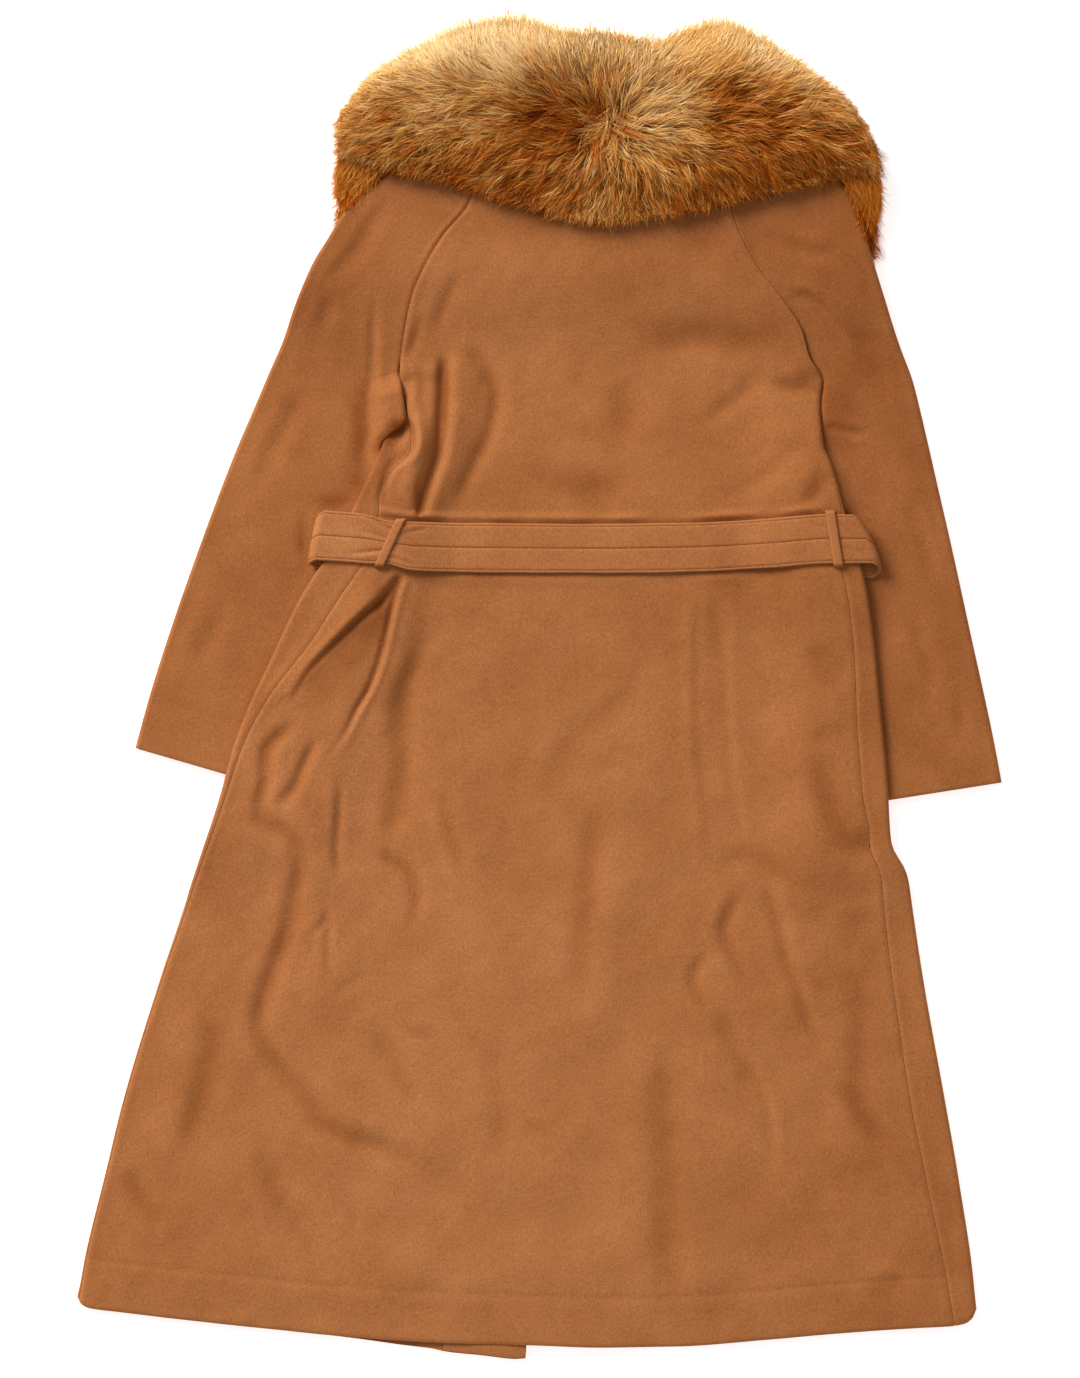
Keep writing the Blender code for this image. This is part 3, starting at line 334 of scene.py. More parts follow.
# Half of the belt's section: across from its middle, and half thickness there, with the
# edge stitching 2.6 mm in and the seam along its middle
BELT_SECTION = table("w h", [
    (0, 1.2), (0.5, 1.7), (1.2, 2.1), (2.4, 2.22), (4, 2.24), (5.6, 2.25), (7.2, 2.25),
    (8.8, 2.25), (10.4, 2.25), (12, 2.25), (13.6, 2.25), (15.2, 2.24), (16.8, 2.22), (18.2, 2.22),
    (19.4, 2.2), (20.4, 1.95), (21.1, 1.45), (21.8, 1.8), (22.6, 1.95), (23.3, 1.5), (23.7, 0.6),
])

# Belt loops: where the loop crosses above and below the belt, and how high it is beside
# the fold below
LOOPS = {"belt_loop_left": (-128.6, -159.4, 0.89), "belt_loop_right": (276.2, 287.4, 0.97)}
LOOP_HALF = 4.5

# Fold of a loop over the belt: t along the coat from the belt's centre line, h above
# the panel, for the loop's inner and outer faces
LOOP_FOLD = table("t_in h_in t_out h_out", [
    (27, 0.4, 28.4, 1.2), (26.2, 1.6, 27.9, 2.5), (25.6, 3.2, 27.4, 4.6), (25.1, 4.8, 26.5, 6.4),
    (23.6, 5.5, 24.2, 7.5), (12, 5.5, 12, 7.7), (0, 5.5, 0, 7.7), (-12, 5.5, -12, 7.7),
    (-23.6, 5.5, -24.2, 7.5), (-25.1, 4.8, -26.5, 6.4), (-25.6, 3.2, -27.4, 4.6),
    (-26.2, 1.6, -27.9, 2.5), (-27, 0.4, -28.4, 1.2),
])

# Collar: outer outline, lower edges of the layer over the back and of the layer under
# the fronts, and how far the fur stands above the slot that holds the neck edge
COLLAR = table("x top over under loft", [
    (-196, 541, 512, 474, 14), (-190, 558, 509, 464, 22), (-180, 573, 507, 458, 28),
    (-150, 600, 499, 452, 36), (-119, 616, 492, 450, 40), (-88, 631, 485, 448, 42),
    (-57, 641, 474, 447, 42), (-20, 645, 464, 446, 42), (19, 633, 452, 446, 42),
    (61, 631, 446, 446, 42), (111, 624, 452, 444, 42), (150, 636, 458, 442, 42),
    (173, 641, 464, 440, 42), (205, 630, 471, 438, 40), (240, 608, 480, 434, 38),
    (268, 589, 487, 430, 34), (296, 567, 493, 427, 30), (312, 545, 494, 427, 26),
    (321, 524, 490, 440, 22), (327, 508, 486, 462, 14),
])

# Height of the fur across the collar, from its lower edge to its outline
CROWN = table("share rise", [
    (0, 0.08), (0.02, 0.26), (0.09, 0.5), (0.22, 0.78), (0.42, 0.97), (0.66, 1), (0.84, 0.86),
    (0.945, 0.62), (0.984, 0.3), (1, 0),
])

# How the fur is combed: place, direction in degrees and tone of the hair
COMB = table("x y turn tone", [
    (66, 560, 92, 0.5), (58, 607, 95, 0.74), (34, 607, 106, 0.7), (-7, 620, 95, 0.76),
    (-51, 607, 100, 0.78), (-86, 607, 110, 0.78), (-115, 597, 130, 0.74), (-144, 583, 155, 0.68),
    (-168, 573, 180, 0.6), (-182, 549, 195, 0.56), (-187, 520, 205, 0.5), (-190, 492, 230, 0.46),
    (-134, 554, 195, 0.48), (-86, 559, 190, 0.64), (-38, 554, 190, 0.6), (10, 545, 183, 0.34),
    (-106, 520, 212, 0.42), (-58, 520, 207, 0.4), (-10, 520, 205, 0.42), (29, 520, 214, 0.36),
    (-154, 520, 212, 0.46), (-134, 496, 222, 0.38), (-86, 487, 222, 0.26), (-38, 482, 215, 0.34),
    (0, 472, 222, 0.34), (38, 482, 235, 0.4), (56, 505, 243, 0.54), (72, 482, 268, 0.48),
    (58, 458, 262, 0.42), (96, 458, 272, 0.44), (92, 492, 285, 0.42), (114, 515, 318, 0.5),
    (134, 501, 300, 0.34), (144, 472, 290, 0.34), (173, 472, 295, 0.36), (154, 530, 340, 0.38),
    (192, 511, 305, 0.32), (230, 482, 300, 0.36), (269, 492, 305, 0.4), (250, 520, 320, 0.33),
    (298, 520, 325, 0.42), (307, 482, 300, 0.44), (322, 501, 290, 0.44), (317, 540, 340, 0.56),
    (269, 544, 350, 0.46), (211, 554, 15, 0.4), (250, 568, 15, 0.62), (288, 564, 10, 0.66),
    (154, 564, 30, 0.36), (104, 552, 16, 0.74), (106, 588, 50, 0.66), (134, 597, 45, 0.52),
    (173, 607, 60, 0.64), (192, 621, 75, 0.76), (168, 631, 95, 0.78), (211, 607, 50, 0.74),
    (240, 592, 35, 0.72), (125, 616, 60, 0.6), (86, 607, 80, 0.7), (317, 458, 285, 0.34),
    (38, 541, 172, 0.26), (36, 560, 140, 0.44), (90, 545, 10, 0.7), (86, 572, 62, 0.68),
    (-20, 585, 130, 0.8),
])

# Spots where grey hair shows in the fur, and spots where the hair parts, which lies lower there and
# is painted darker for the shade in the parting
GREY = table("x y wide share", [
    (44, 580, 24, 0.4), (60, 606, 22, 0.4), (92, 592, 24, 0.35), (0, 490, 30, 0.05),
    (-90, 564, 30, 0.08),
])
PARTS = table("x y wide low", [
    (205, 541, 12, 0.5), (176, 560, 12, 0.5), (289, 538, 18, 0.4), (-40, 568, 20, 0.35),
    (12, 550, 16, 0.45), (-110, 562, 22, 0.3), (240, 508, 12, 0.4), (10, 486, 16, 0.3),
    (210, 478, 12, 0.4), (150, 545, 12, 0.4), (-60, 505, 12, 0.3), (60, 498, 10, 0.3),
])


# Curves

def fair(x, xs, ys):
    """Smooth curve through a column, or through rows of columns, with no swings."""
    xs, ys = np.asarray(xs, dtype=float), np.asarray(ys, dtype=float)
    if xs[0] > xs[-1]:
        xs, ys = xs[::-1], ys[::-1]
    step = np.diff(xs)
    wide = (-1,) + (1,) * (ys.ndim - 1)
    slope = np.diff(ys, axis=0) / step.reshape(wide)
    before, after = slope[:-1], slope[1:]
    same = before * after > 0
    middle = np.where(same, 2 * before * after / np.where(same, before + after, 1), 0)
    tangent = np.concatenate([slope[:1], middle, slope[-1:]])
    x = np.clip(x, xs[0], xs[-1])
    k = np.clip(np.searchsorted(xs, x) - 1, 0, len(xs) - 2)
    t, span = (x - xs[k]) / step[k], step[k]
    if ys.ndim > 1:
        t, span = t.reshape(wide), span.reshape(wide)
    back = 1 - t
    return ((1 + 2 * t) * back ** 2 * ys[k] + t * back ** 2 * span * tangent[k]
            + t * t * (3 - 2 * t) * ys[k + 1] - t * t * back * span * tangent[k + 1])


def value_at(rows, place, column):
    """Smooth value of a table's column at places in its first column."""
    return fair(place, next(iter(rows.values())), rows[column])


def ease(value, start, end):
    """Soft step from 0 at start to 1 at end."""
    t = np.clip((np.asarray(value, dtype=float) - start) / (end - start), 0, 1)
    return t * t * (3 - 2 * t)


def bell(value, middle, half):
    """Soft bump of height 1 at its middle."""
    return np.exp(-(((value - middle) / half) ** 2))


def spaced(*parts):
    """Evenly spaced places between values, each pair with the number of its places."""
    runs = zip(parts[:-1:2], parts[1::2], parts[2::2])
    return np.concatenate([*(np.linspace(a, b, n)[:-1] for a, n, b in runs), parts[-1:]])


def way_along(line):
    """Distance along a line to each of its points."""
    return np.concatenate([[0], np.cumsum(np.linalg.norm(np.diff(line, axis=0), axis=1))])


def smooth_line(points, pieces=6):
    """Points of a rounded line through a few given points."""
    points = np.asarray(points, dtype=float)
    padded = np.vstack([2 * points[0] - points[1], points, 2 * points[-1] - points[-2]])
    t = (np.arange(pieces) / pieces)[:, None]
    parts = [0.5 * (2 * b + (c - a) * t + (2 * a - 5 * b + 4 * c - d) * t * t
                    + (3 * b - a - 3 * c + d) * t ** 3)
             for a, b, c, d in zip(padded, padded[1:], padded[2:], padded[3:])]
    return np.concatenate([*parts, points[-1:]])


def line_gap(x, y, line):
    """Distance to a line, with a minus sign on its left when it runs down the coat, and
    the share of the way along it."""
    best = np.full(x.shape, np.inf)
    signed = share = np.zeros(x.shape)
    way = way_along(line)
    for i, ((ax, ay), (dx, dy)) in enumerate(zip(line, np.diff(line, axis=0))):
        t = np.clip(((x - ax) * dx + (y - ay) * dy) / (dx * dx + dy * dy), 0, 1)
        gap = np.hypot(x - ax - t * dx, y - ay - t * dy)
        side = np.where(dx * (y - ay) - dy * (x - ax) > 0, 1, -1)
        nearer = gap < best
        best = np.where(nearer, gap, best)
        signed = np.where(nearer, gap * side, signed)
        share = np.where(nearer, (way[i] + t * (way[i + 1] - way[i])) / way[-1], share)
    return signed, share


def side_edge(y, side):
    return value_at(SIDES, y, WORD[side])


def front_edge(y, side):
    return value_at(FRONT_EDGES, y, WORD[side])


def belt_line(x):
    return value_at(BELT_LINE, x, "y")


def row_y(x, s, hem, drop):
    """Place along the coat of a row at x: rows bend to the neckline, which is lowest at
    its middle, and to the hem."""
    t = np.clip(np.abs(x - NECK_MID_X) / NECK_HALF, 0, 1)
    neck = NECK_Y - drop * (1 - t * t)
    up = (s - NECK_START_Y) / (NECK_Y - NECK_START_Y)
    down = (HEM_START_Y - s) / (HEM_START_Y - HEM_ROW)
    high = NECK_START_Y + (neck - NECK_START_Y) * up
    low = HEM_START_Y + (value_at(hem, x, "y") - HEM_START_Y) * down
    return np.where(up > 0, high, np.where(down > 0, low, s))


# Heights at which the layers lie

def collar_lift(y):
    return COLLAR_LIFT * ease(y, *COLLAR_RAMP_Y)


def sleeve_inner(y, side):
    """Inner fold of a sleeve at y, where it runs on under the body."""
    cuff = CUFF_INNER[side]
    return ARMPIT_X[side] + (cuff[0] - ARMPIT_X[side]) * (ARMPIT_Y - y) / (ARMPIT_Y - cuff[1])


def sleeve_lift(x, y):
    """Rise of the body over the sleeves that lie under its sides."""
    uneven = 16 * np.sin(x / 37) + 9 * np.sin(x / 17 + 1)
    rise = SLEEVE_LIFT * ease(y, *SLEEVE_LIFT_Y) * (1 - ease(y + uneven, *SLEEVE_DROP_Y))
    inside = np.minimum(x - sleeve_inner(y, -1), sleeve_inner(y, 1) - x)
    return rise * (1 - ease(inside, *SLEEVE_RAMP))


def belt_lift(x, y):
    """Rise of the body over the belt's run under the fronts."""
    t = y - belt_line(x)
    up = 1 - ease(t, BELT_ROOM_UP, BELT_ROOM_UP + BELT_RAMP)
    down = 1 - ease(-t, BELT_ROOM_DOWN, BELT_ROOM_DOWN + BELT_RAMP)
    return BELT_LIFT * up * down


def body_lift(x, y):
    """Rise of the body, with the hollow of its side below the left underarm."""
    hollow = 7.5 * bell(x, -135, 11) * bell(y, 251, 15)
    return collar_lift(y) + sleeve_lift(x, y) + belt_lift(x, y) - hollow


def lap_lift(x, y):
    """Rise of the left front where it lies on the right front's edge."""
    return LAP * ease(x - front_edge(y, 1), -26, -2)


def facing_lift(x, y):
    """Room over the facing at the corner of the left front."""
    across = ease(x, -225, -165) * (1 - ease(x, 60, 120))
    return FACING_ROOM * across * ease(-y, 500, 555)


def fold_relief(x, y):
    """Height of the large folds."""
    high = np.zeros(x.shape)
    for *line, crest, left, right in zip(*FOLDS.values()):
        gap, share = line_gap(x, y, smooth_line(np.reshape(line, (3, 2))))
        ends = 0.25 + 0.75 * np.sin(math.pi * np.clip(share, 0.02, 0.98)) ** 0.5
        high = np.maximum(high, crest * bell(gap, 0, np.where(gap < 0, left, right)) * ends)
    return high


def crease_relief(x, y, creases):
    """Troughs of the creases, with the cloth that rises beside them."""
    total = np.zeros(x.shape)
    for depth, left, right, half, fade_start, fade_end, *points in creases:
        line = smooth_line(np.reshape(points, (-1, 2)))
        (low_x, low_y), (high_x, high_y) = line.min(0) - half * 5, line.max(0) + half * 5
        near = (x > low_x) & (x < high_x) & (y > low_y) & (y < high_y)
        if near.any():
            gap, share = line_gap(x[near], y[near], line)
            ends = ease(share, 0, fade_start) * (1 - ease(share, 1 - fade_end, 1))
            total[near] += ends * (left * bell(gap, -1.8 * half, 1.4 * half)
                                   + right * bell(gap, 1.8 * half, 1.4 * half)
                                   - depth * bell(gap, 0, half))
    return total


def undulation(x, y, seed, sizes):
    """Slow unevenness of cloth that lies loose: length of its waves and their height."""
    chance = np.random.default_rng(seed)
    total = np.zeros(np.shape(x))
    for size, high in sizes:
        for _ in range(5):
            turn, start, warp = chance.uniform(0, 2 * math.pi, 3)
            reach = size * chance.uniform(0.75, 1.3)
            along = (x * math.cos(turn) + y * math.sin(turn)) * 2 * math.pi / reach
            across = (y * math.cos(turn) - x * math.sin(turn)) * 2 * math.pi / (1.6 * reach)
            total += high / 5 * np.sin(along + start + 0.8 * np.sin(across + warp))
    return total


def held_down(high, deepest):
    """Relief whose troughs stay clear of the layer below."""
    return np.where(high < 0, -deepest * np.tanh(-high / deepest), high)


def fold_points(edge_x, side, sigma):
    """Outer and inner points of a flattened tube, sigma along the cloth from its edge."""
    angle = np.clip(sigma / QUARTER, -1, 1) * math.pi / 2
    run = np.maximum(np.abs(sigma) - QUARTER, 0)
    mid_x = edge_x - side * FOLD_R
    faces = []
    for radius in (FOLD_R, FOLD_R - CLOTH):
        faces += [mid_x + side * (radius * np.cos(angle) - run), FOLD_R + radius * np.sin(angle)]
    return faces


def level_part(x, outer, inner, *rest):
    """Level part of a section: x and height of its outer and inner faces, and the rest."""
    return np.stack(np.broadcast_arrays(x, outer, x, inner, *rest))


# Meshes

def make_mesh(name, points, quads, triangles=()):
    """Mesh object from points in millimetres."""
    faces = [np.asarray(quads, np.int32).reshape(-1, 4),
             np.asarray(triangles, np.int32).reshape(-1, 3)]
    sizes = np.repeat([4, 3], [len(part) for part in faces])
    corners = np.concatenate([part.ravel() for part in faces])
    mesh = bpy.data.meshes.new(name)
    mesh.vertices.add(len(points))
    mesh.vertices.foreach_set("co", (np.asarray(points, dtype=np.float32) * MM).ravel())
    mesh.loops.add(len(corners))
    mesh.loops.foreach_set("vertex_index", corners)
    mesh.polygons.add(len(sizes))
    mesh.polygons.foreach_set("loop_start", (np.cumsum(sizes) - sizes).astype(np.int32))
    mesh.update(calc_edges=True)
    mesh.validate()
    piece = bpy.data.objects.new(name, mesh)
    bpy.context.scene.collection.objects.link(piece)
    return piece


def select_only(piece):
    bpy.ops.object.select_all(action="DESELECT")
    piece.select_set(True)
    bpy.context.view_layer.objects.active = piece


def smooth_shade(piece, angle):
    """Smooth shading that keeps edges sharper than an angle."""
    select_only(piece)
    bpy.ops.object.shade_smooth_by_angle(angle=math.radians(angle))
    piece.select_set(False)


def grid_quads(rows, columns, closed=False):
    """Quads between rows of points, which can close to rings."""
    at = np.arange(rows * columns).reshape(rows, columns)
    if closed:
        at = np.concatenate([at, at[:, :1]], axis=1)
    return np.stack([at[:-1, :-1], at[:-1, 1:], at[1:, 1:], at[1:, :-1]], -1).reshape(-1, 4)


def outward(points, quads):
    """Quads turned so that a closed mesh faces outwards."""
    a, b, c, d = (points[quads[:, i]] for i in range(4))
    volume = np.einsum("ij,ij->", a, np.cross(b, c)) + np.einsum("ij,ij->", a, np.cross(c, d))
    return quads[:, ::-1] if volume < 0 else quads


def cloth_wall(name, outer, inner):
    """Closed wall of cloth between an outer and an inner grid of points."""
    rows, columns = outer.shape[:2]
    count = rows * columns
    face = grid_quads(rows, columns)
    at = np.arange(count).reshape(rows, columns)
    rims = [np.stack([line[:-1], line[1:], line[1:] + count, line[:-1] + count], -1)
            for line in (at[:, 0], at[::-1, -1], at[0, ::-1], at[-1])]
    quads = np.concatenate([face, face[:, ::-1] + count, *rims])
    points = np.concatenate([outer.reshape(-1, 3), inner.reshape(-1, 3)])
    piece = make_mesh(name, points, outward(points, quads))
    smooth_shade(piece, 55)
    return piece


def mark(piece, name, values):
    """Number kept at each point of a piece, for its material."""
    layer = piece.data.attributes.new(name, "FLOAT", "POINT")
    layer.data.foreach_set("value", values.astype(np.float32))


def finish_piece(piece, material, replaced=()):
    """Material and body of a piece, and the solids that it stands for."""
    piece.data.materials.append(material)
    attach(piece, "root")
    if replaced:
        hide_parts(*replaced)


def finish_cloth(piece, material, node, rub, base=0.5, painted_shade=0.0):
    """A cloth piece with its rubbed edges, its nap, which lies from stroked down and dark to
    raised and pale, and its painted shade. The inner face of a wall gets neither rub nor shade."""
    points = np.empty(len(piece.data.vertices) * 3, dtype=np.float32)
    piece.data.vertices.foreach_get("co", points)
    x, y, _ = points.reshape(-1, 3).T / MM
    rubbed, tone = np.zeros(x.shape), np.full(x.shape, base)
    for total, part in ((rubbed, rub), (tone, painted_shade)):
        total[:np.size(part) if np.ndim(part) else None] += np.ravel(part)
    for mid_x, mid_y, wide, long, change in zip(*NAP_AND_SHADE.values()):
        tone += change * bell(x, mid_x, wide) * bell(y, mid_y, long)
    mark(piece, "rub", rubbed)
    mark(piece, "nap_and_shade", np.clip(tone, 0, 1))
    finish_piece(piece, material, [node])


# Materials

def linear(code):
    """Linear colour of an sRGB hex value."""
    parts = [int(code[i:i + 2], 16) / 255 for i in (1, 3, 5)]
    return (*(p / 12.92 if p <= 0.04045 else ((p + 0.055) / 1.055) ** 2.4 for p in parts), 1)


def connect(tree, item, inputs):
    """Values and links of a node's inputs."""
    for name, value in inputs.items():
        if isinstance(value, bpy.types.NodeSocket):
            tree.links.new(value, item.inputs[name])
        else:
            item.inputs[name].default_value = value


def add(tree, kind, output, inputs=None, ramp=None, **settings):
    """One node with its settings, inputs and ramp. It returns one of its outputs."""
    item = tree.nodes.new("ShaderNode" + kind)
    for name, value in settings.items():
        setattr(item, name, value)
    connect(tree, item, inputs or {})
    if ramp:
        stops = item.color_ramp.elements
        for place, _ in ramp[1:-1]:
            stops.new(place)
        for stop, (place, colour) in zip(stops, ramp):
            stop.position = place
            stop.color = colour
    return item.outputs[output]


def new_material(name):
    material = bpy.data.materials.new(name)
    material.use_nodes = True
    tree = material.node_tree
    return material, tree, tree.nodes["Principled BSDF"]


def melton(name, light, mid, deep):
    """Camel wool melton, woven, milled and raised.

    The eye sees a soft dull face with no thread lines, short fibres that lie down the
    coat, slow patches where the nap was stroked, and a pale bloom at low angles. Its
    colour also takes painted shade from the pieces.
    """
    material, tree, shader = new_material(name)
    place = add(tree, "TexCoord", "Object")
    patches = add(tree, "TexNoise", "Fac", {"Vector": place, "Scale": 15, "Detail": 5,
                                            "Roughness": 0.6})
    # Each piece's mark of its nap and of painted shade: crease troughs, the belt's upper edge, the
    # band under the collar and the left underarm's crevice are painted darker
    nap_and_shade = add(tree, "Attribute", "Fac", attribute_name="nap_and_shade")
    uneven = add(tree, "MapRange", "Result", {"Value": patches, "From Min": 0.25,
                                              "From Max": 0.75, "To Min": -0.15,
                                              "To Max": 0.15})
    lie = add(tree, "Math", "Value", {0: nap_and_shade, 1: uneven}, operation="ADD")
    # The deep end of the ramp is the colour of stroked-down nap and of the painted shade
    patch_tone = add(tree, "ValToRGB", "Color", {"Fac": lie},
                     [(0, linear(deep)), (0.5, linear(mid)), (1, linear(light))])
    # Nap: fibres 0.02 mm thick lie together in tufts, drawn as 1.5 by 3 mm flecks to show
    nap_lie = add(tree, "Mapping", "Vector", {"Vector": place, "Scale": (1, 0.6, 1)})
    nap = add(tree, "TexNoise", "Fac", {"Vector": nap_lie, "Scale": 560, "Detail": 4,
                                        "Roughness": 0.75})
    nap_tone = add(tree, "ValToRGB", "Color", {"Fac": nap},
                   [(0.25, (0.70, 0.67, 0.63, 1)), (0.75, (1.24, 1.26, 1.29, 1))])
    # Weave under the nap: threads 1.1 mm apart, which show as a faint cross grain
    weave_lie = add(tree, "Mapping", "Vector", {"Vector": place, "Scale": (0.35, 1, 1)})
    weave = add(tree, "TexNoise", "Fac", {"Vector": weave_lie, "Scale": 620, "Detail": 2,
                                          "Roughness": 0.5})
    toned = add(tree, "Mix", 2, {0: 1, 6: patch_tone, 7: nap_tone}, data_type="RGBA",
                blend_type="MULTIPLY")
    # Rubbed edges at cuffs, hem and seams are a little paler
    rub = add(tree, "Attribute", "Fac", attribute_name="rub")
    worn = add(tree, "Math", "Value", {0: rub, 1: nap}, operation="MULTIPLY")
    edged = add(tree, "Mix", 2, {0: worn, 6: toned, 7: linear(light)}, data_type="RGBA")
    height = add(tree, "Math", "Value", {0: nap, 1: 1.4}, operation="MULTIPLY")
    raised = add(tree, "Math", "Value", {0: height, 1: weave}, operation="ADD")
    bump = add(tree, "Bump", "Normal", {"Height": raised, "Strength": 0.35,
                                        "Distance": 0.0009})
    dull = add(tree, "MapRange", "Result", {"Value": nap, "To Min": 0.78, "To Max": 0.98})
    connect(tree, shader, {"Base Color": edged, "Roughness": dull, "Normal": bump,
                           "Specular IOR Level": 0.15, "Sheen Weight": 0.12,
                           "Sheen Roughness": 0.45, "Sheen Tint": linear("#eaa870")})
    return material


def thread_material():
    """Spun polyester sewing thread: smooth, tightly twisted and a little shiny."""
    material, tree, shader = new_material("spun_polyester_thread")
    place = add(tree, "TexCoord", "Object")
    # Twist: turns of 0.5 mm, drawn 1 mm apart
    twist = add(tree, "TexNoise", "Fac", {"Vector": place, "Scale": 1000, "Detail": 1})
    tone = add(tree, "ValToRGB", "Color", {"Fac": twist},
               [(0.3, linear("#7d4526")), (0.7, linear("#a5653a"))])
    bump = add(tree, "Bump", "Normal", {"Height": twist, "Strength": 0.3,
                                        "Distance": 0.0002})
    connect(tree, shader, {"Base Color": tone, "Normal": bump, "Roughness": 0.5})
    return material


def fox_hair():
    """Red fox guard hair: glossy tapered hair, pale to the tip and dark at the root, partly its own
    colour and partly painted shade deep in the fur.

    Across its map the tone runs from dark brown through rust and gold to cream and grey,
    and along it from root to tip.
    """
    material, tree, shader = new_material("red_fox_guard_hair")
    place = add(tree, "UVMap", "UV", uv_map="OFBake")
    split = {"Vector": place}
    tones = ("#2e160a", "#622f10", "#a64c0f", "#c46a19", "#d89a4c", "#ecbe7c", "#efc588",
             "#f4d8ae", "#b48c5e")
    places = (0, 0.12, 0.26, 0.40, 0.52, 0.64, 0.76, 0.88, 1)
    tone = add(tree, "ValToRGB", "Color", {"Fac": add(tree, "SeparateXYZ", "X", split)},
               [(at, linear(code)) for at, code in zip(places, tones)])
    # From the dark root to the pale tip of a hair about 45 mm long: the dark root is partly the
    # hair's own colour and partly painted shade deep in the fur
    length = add(tree, "SeparateXYZ", "Y", split)
    band = add(tree, "ValToRGB", "Color", {"Fac": length}, [
        (0, (0.25, 0.14, 0.07, 1)), (0.25, (0.54, 0.36, 0.22, 1)),
        (0.6, (1.03, 0.98, 0.80, 1)), (1, (1.21, 1.22, 1.04, 1))])
    colour = add(tree, "Mix", 2, {0: 1, 6: tone, 7: band}, data_type="RGBA",
                 blend_type="MULTIPLY")
    gloss = add(tree, "MapRange", "Result", {"Value": length, "To Min": 0.7,
                                             "To Max": 0.45})
    connect(tree, shader, {"Base Color": colour, "Roughness": gloss,
                           "Specular IOR Level": 0.05})
    return material


def fox_underfur():
    """Red fox underfur: short dense wool over the leather, dull and dark between hairs."""
    material, tree, shader = new_material("red_fox_underfur")
    place = add(tree, "TexCoord", "Object")
    # Underfur is 0.02 mm thick: its tufts, 3 to 5 mm across, are what shows
    tufts = add(tree, "TexNoise", "Fac", {"Vector": place, "Scale": 260, "Detail": 4,
                                          "Roughness": 0.7})
    tone = add(tree, "ValToRGB", "Color", {"Fac": tufts},
               [(0.3, linear("#3a1d0d")), (0.72, linear("#8a4c1e"))])
    bump = add(tree, "Bump", "Normal", {"Height": tufts, "Strength": 0.8,
                                        "Distance": 0.003})
    connect(tree, shader, {"Base Color": tone, "Normal": bump, "Roughness": 0.95})
    return material


def matt_paper():
    """Matt white paper under the coat: even and pale."""
    material, tree, shader = new_material("matt_white_paper")
    place = add(tree, "TexCoord", "Object")
    grain = add(tree, "TexNoise", "Fac", {"Vector": place, "Scale": 40, "Detail": 2})
    tone = add(tree, "ValToRGB", "Color", {"Fac": grain},
               [(0.3, linear("#fbfbfb")), (0.7, linear("#fdfdfd"))])
    connect(tree, shader, {"Base Color": tone, "Roughness": 0.9,
                           "Emission Color": (1, 1, 1, 1), "Emission Strength": 0.65})
    return material


COAT_WOOL = melton("camel_wool_melton", "#c68250", "#ac6a3a", "#803f12")
BELT_WOOL = melton("belt_wool_melton", "#cb8856", "#b27040", "#87481c")
THREAD = thread_material()
HAIR = fox_hair()
UNDERFUR = fox_underfur()


# Back

SEAM_STEPS = np.array([0, 0.7, 1.5, 2.5, 3.8, 5.4, 7.4, 10])
BACK_SHARES = spaced(0, 58, 0.22, 84, 0.84, 24, 1)[1:-1]
BACK_ROWS = spaced(568, 38, 330, 38, 184, 15, 162, 56, -60, 70, -440, 18, -542, 11, -562, 6,
                   -588, 5, -597, 4, HEM_ROW)
HEM_DEEP = 47


def back_section(s):
    """Section of the back: x and height of its outer and inner faces, distance along
    the cloth from the side fold, and distance from the seam."""
    ends = []
    for side in (-1, 1):
        if s > ARMPIT_Y:
            x = value_at(RAGLANS, s, WORD[side]) - side * (SEAM_GAP / 2 + SEAM_STEPS)
            ends.append(level_part(x, FLAT, FLAT - CLOTH, FAR, SEAM_STEPS))
        else:
            # The gap is a little wider where the seam turns at the armpit
            gap = SEAM_GAP / 2 + 0.7 * ease(s, 255, 290)
            sigma = value_at(WRAPS, s, WORD[side]) + gap + SEAM_STEPS
            ends.append(np.stack([*fold_points(side_edge(s, side), side, sigma), sigma,
                                  SEAM_STEPS]))
    left, right = ends
    start, stop = left[0, -1], right[0, -1]
    x = start + (stop - start) * BACK_SHARES
    near = np.minimum(left[4, -1] + x - start, right[4, -1] + stop - x)
    seam = SEAM_STEPS[-1] + np.minimum(x - start, stop - x)
    middle = level_part(x, FLAT, FLAT - CLOTH, near, seam)
    return np.concatenate([left, middle, right[:, ::-1]], axis=1)


def seam_roll(seam):
    """Fall of the cloth into a seam, and the allowance ironed open beside it."""
    return 0.3 * bell(seam, 4.6, 2.4) - 0.45 * bell(seam, 0, 1.4)


def hem_roll(rise):
    """Rounded fold of a hem and the faint line where its turning ends."""
    return (0.35 * ease(rise, HEM_DEEP + 2, HEM_DEEP - 4) * ease(rise, 0, 6)
            - 1.2 * bell(rise, 0, 1.6) - 0.5 * bell(rise, HEM_DEEP, 2.8))


def body_grid(section_at, rows, hem, drop):
    """Rows of a panel: x, y and height of both faces, and the rest. Between the armpit
    and the row above it, the side fold turns into the raglan seam."""
    keys = [s for s in rows if s > ABOVE_ARMPIT_Y + 1 or s < ARMPIT_Y - 1]
    keys = sorted([*keys, ABOVE_ARMPIT_Y, ARMPIT_Y], reverse=True)
    fine = fair(rows, keys, np.array([section_at(s) for s in keys]))
    x, z_out, x_in, z_in, sigma, seam = fine.transpose(1, 0, 2)
    y = row_y(x, np.broadcast_to(rows[:, None], x.shape), hem, drop)
    return x, y, z_out, x_in, z_in, sigma, seam, y - value_at(hem, x, "y")


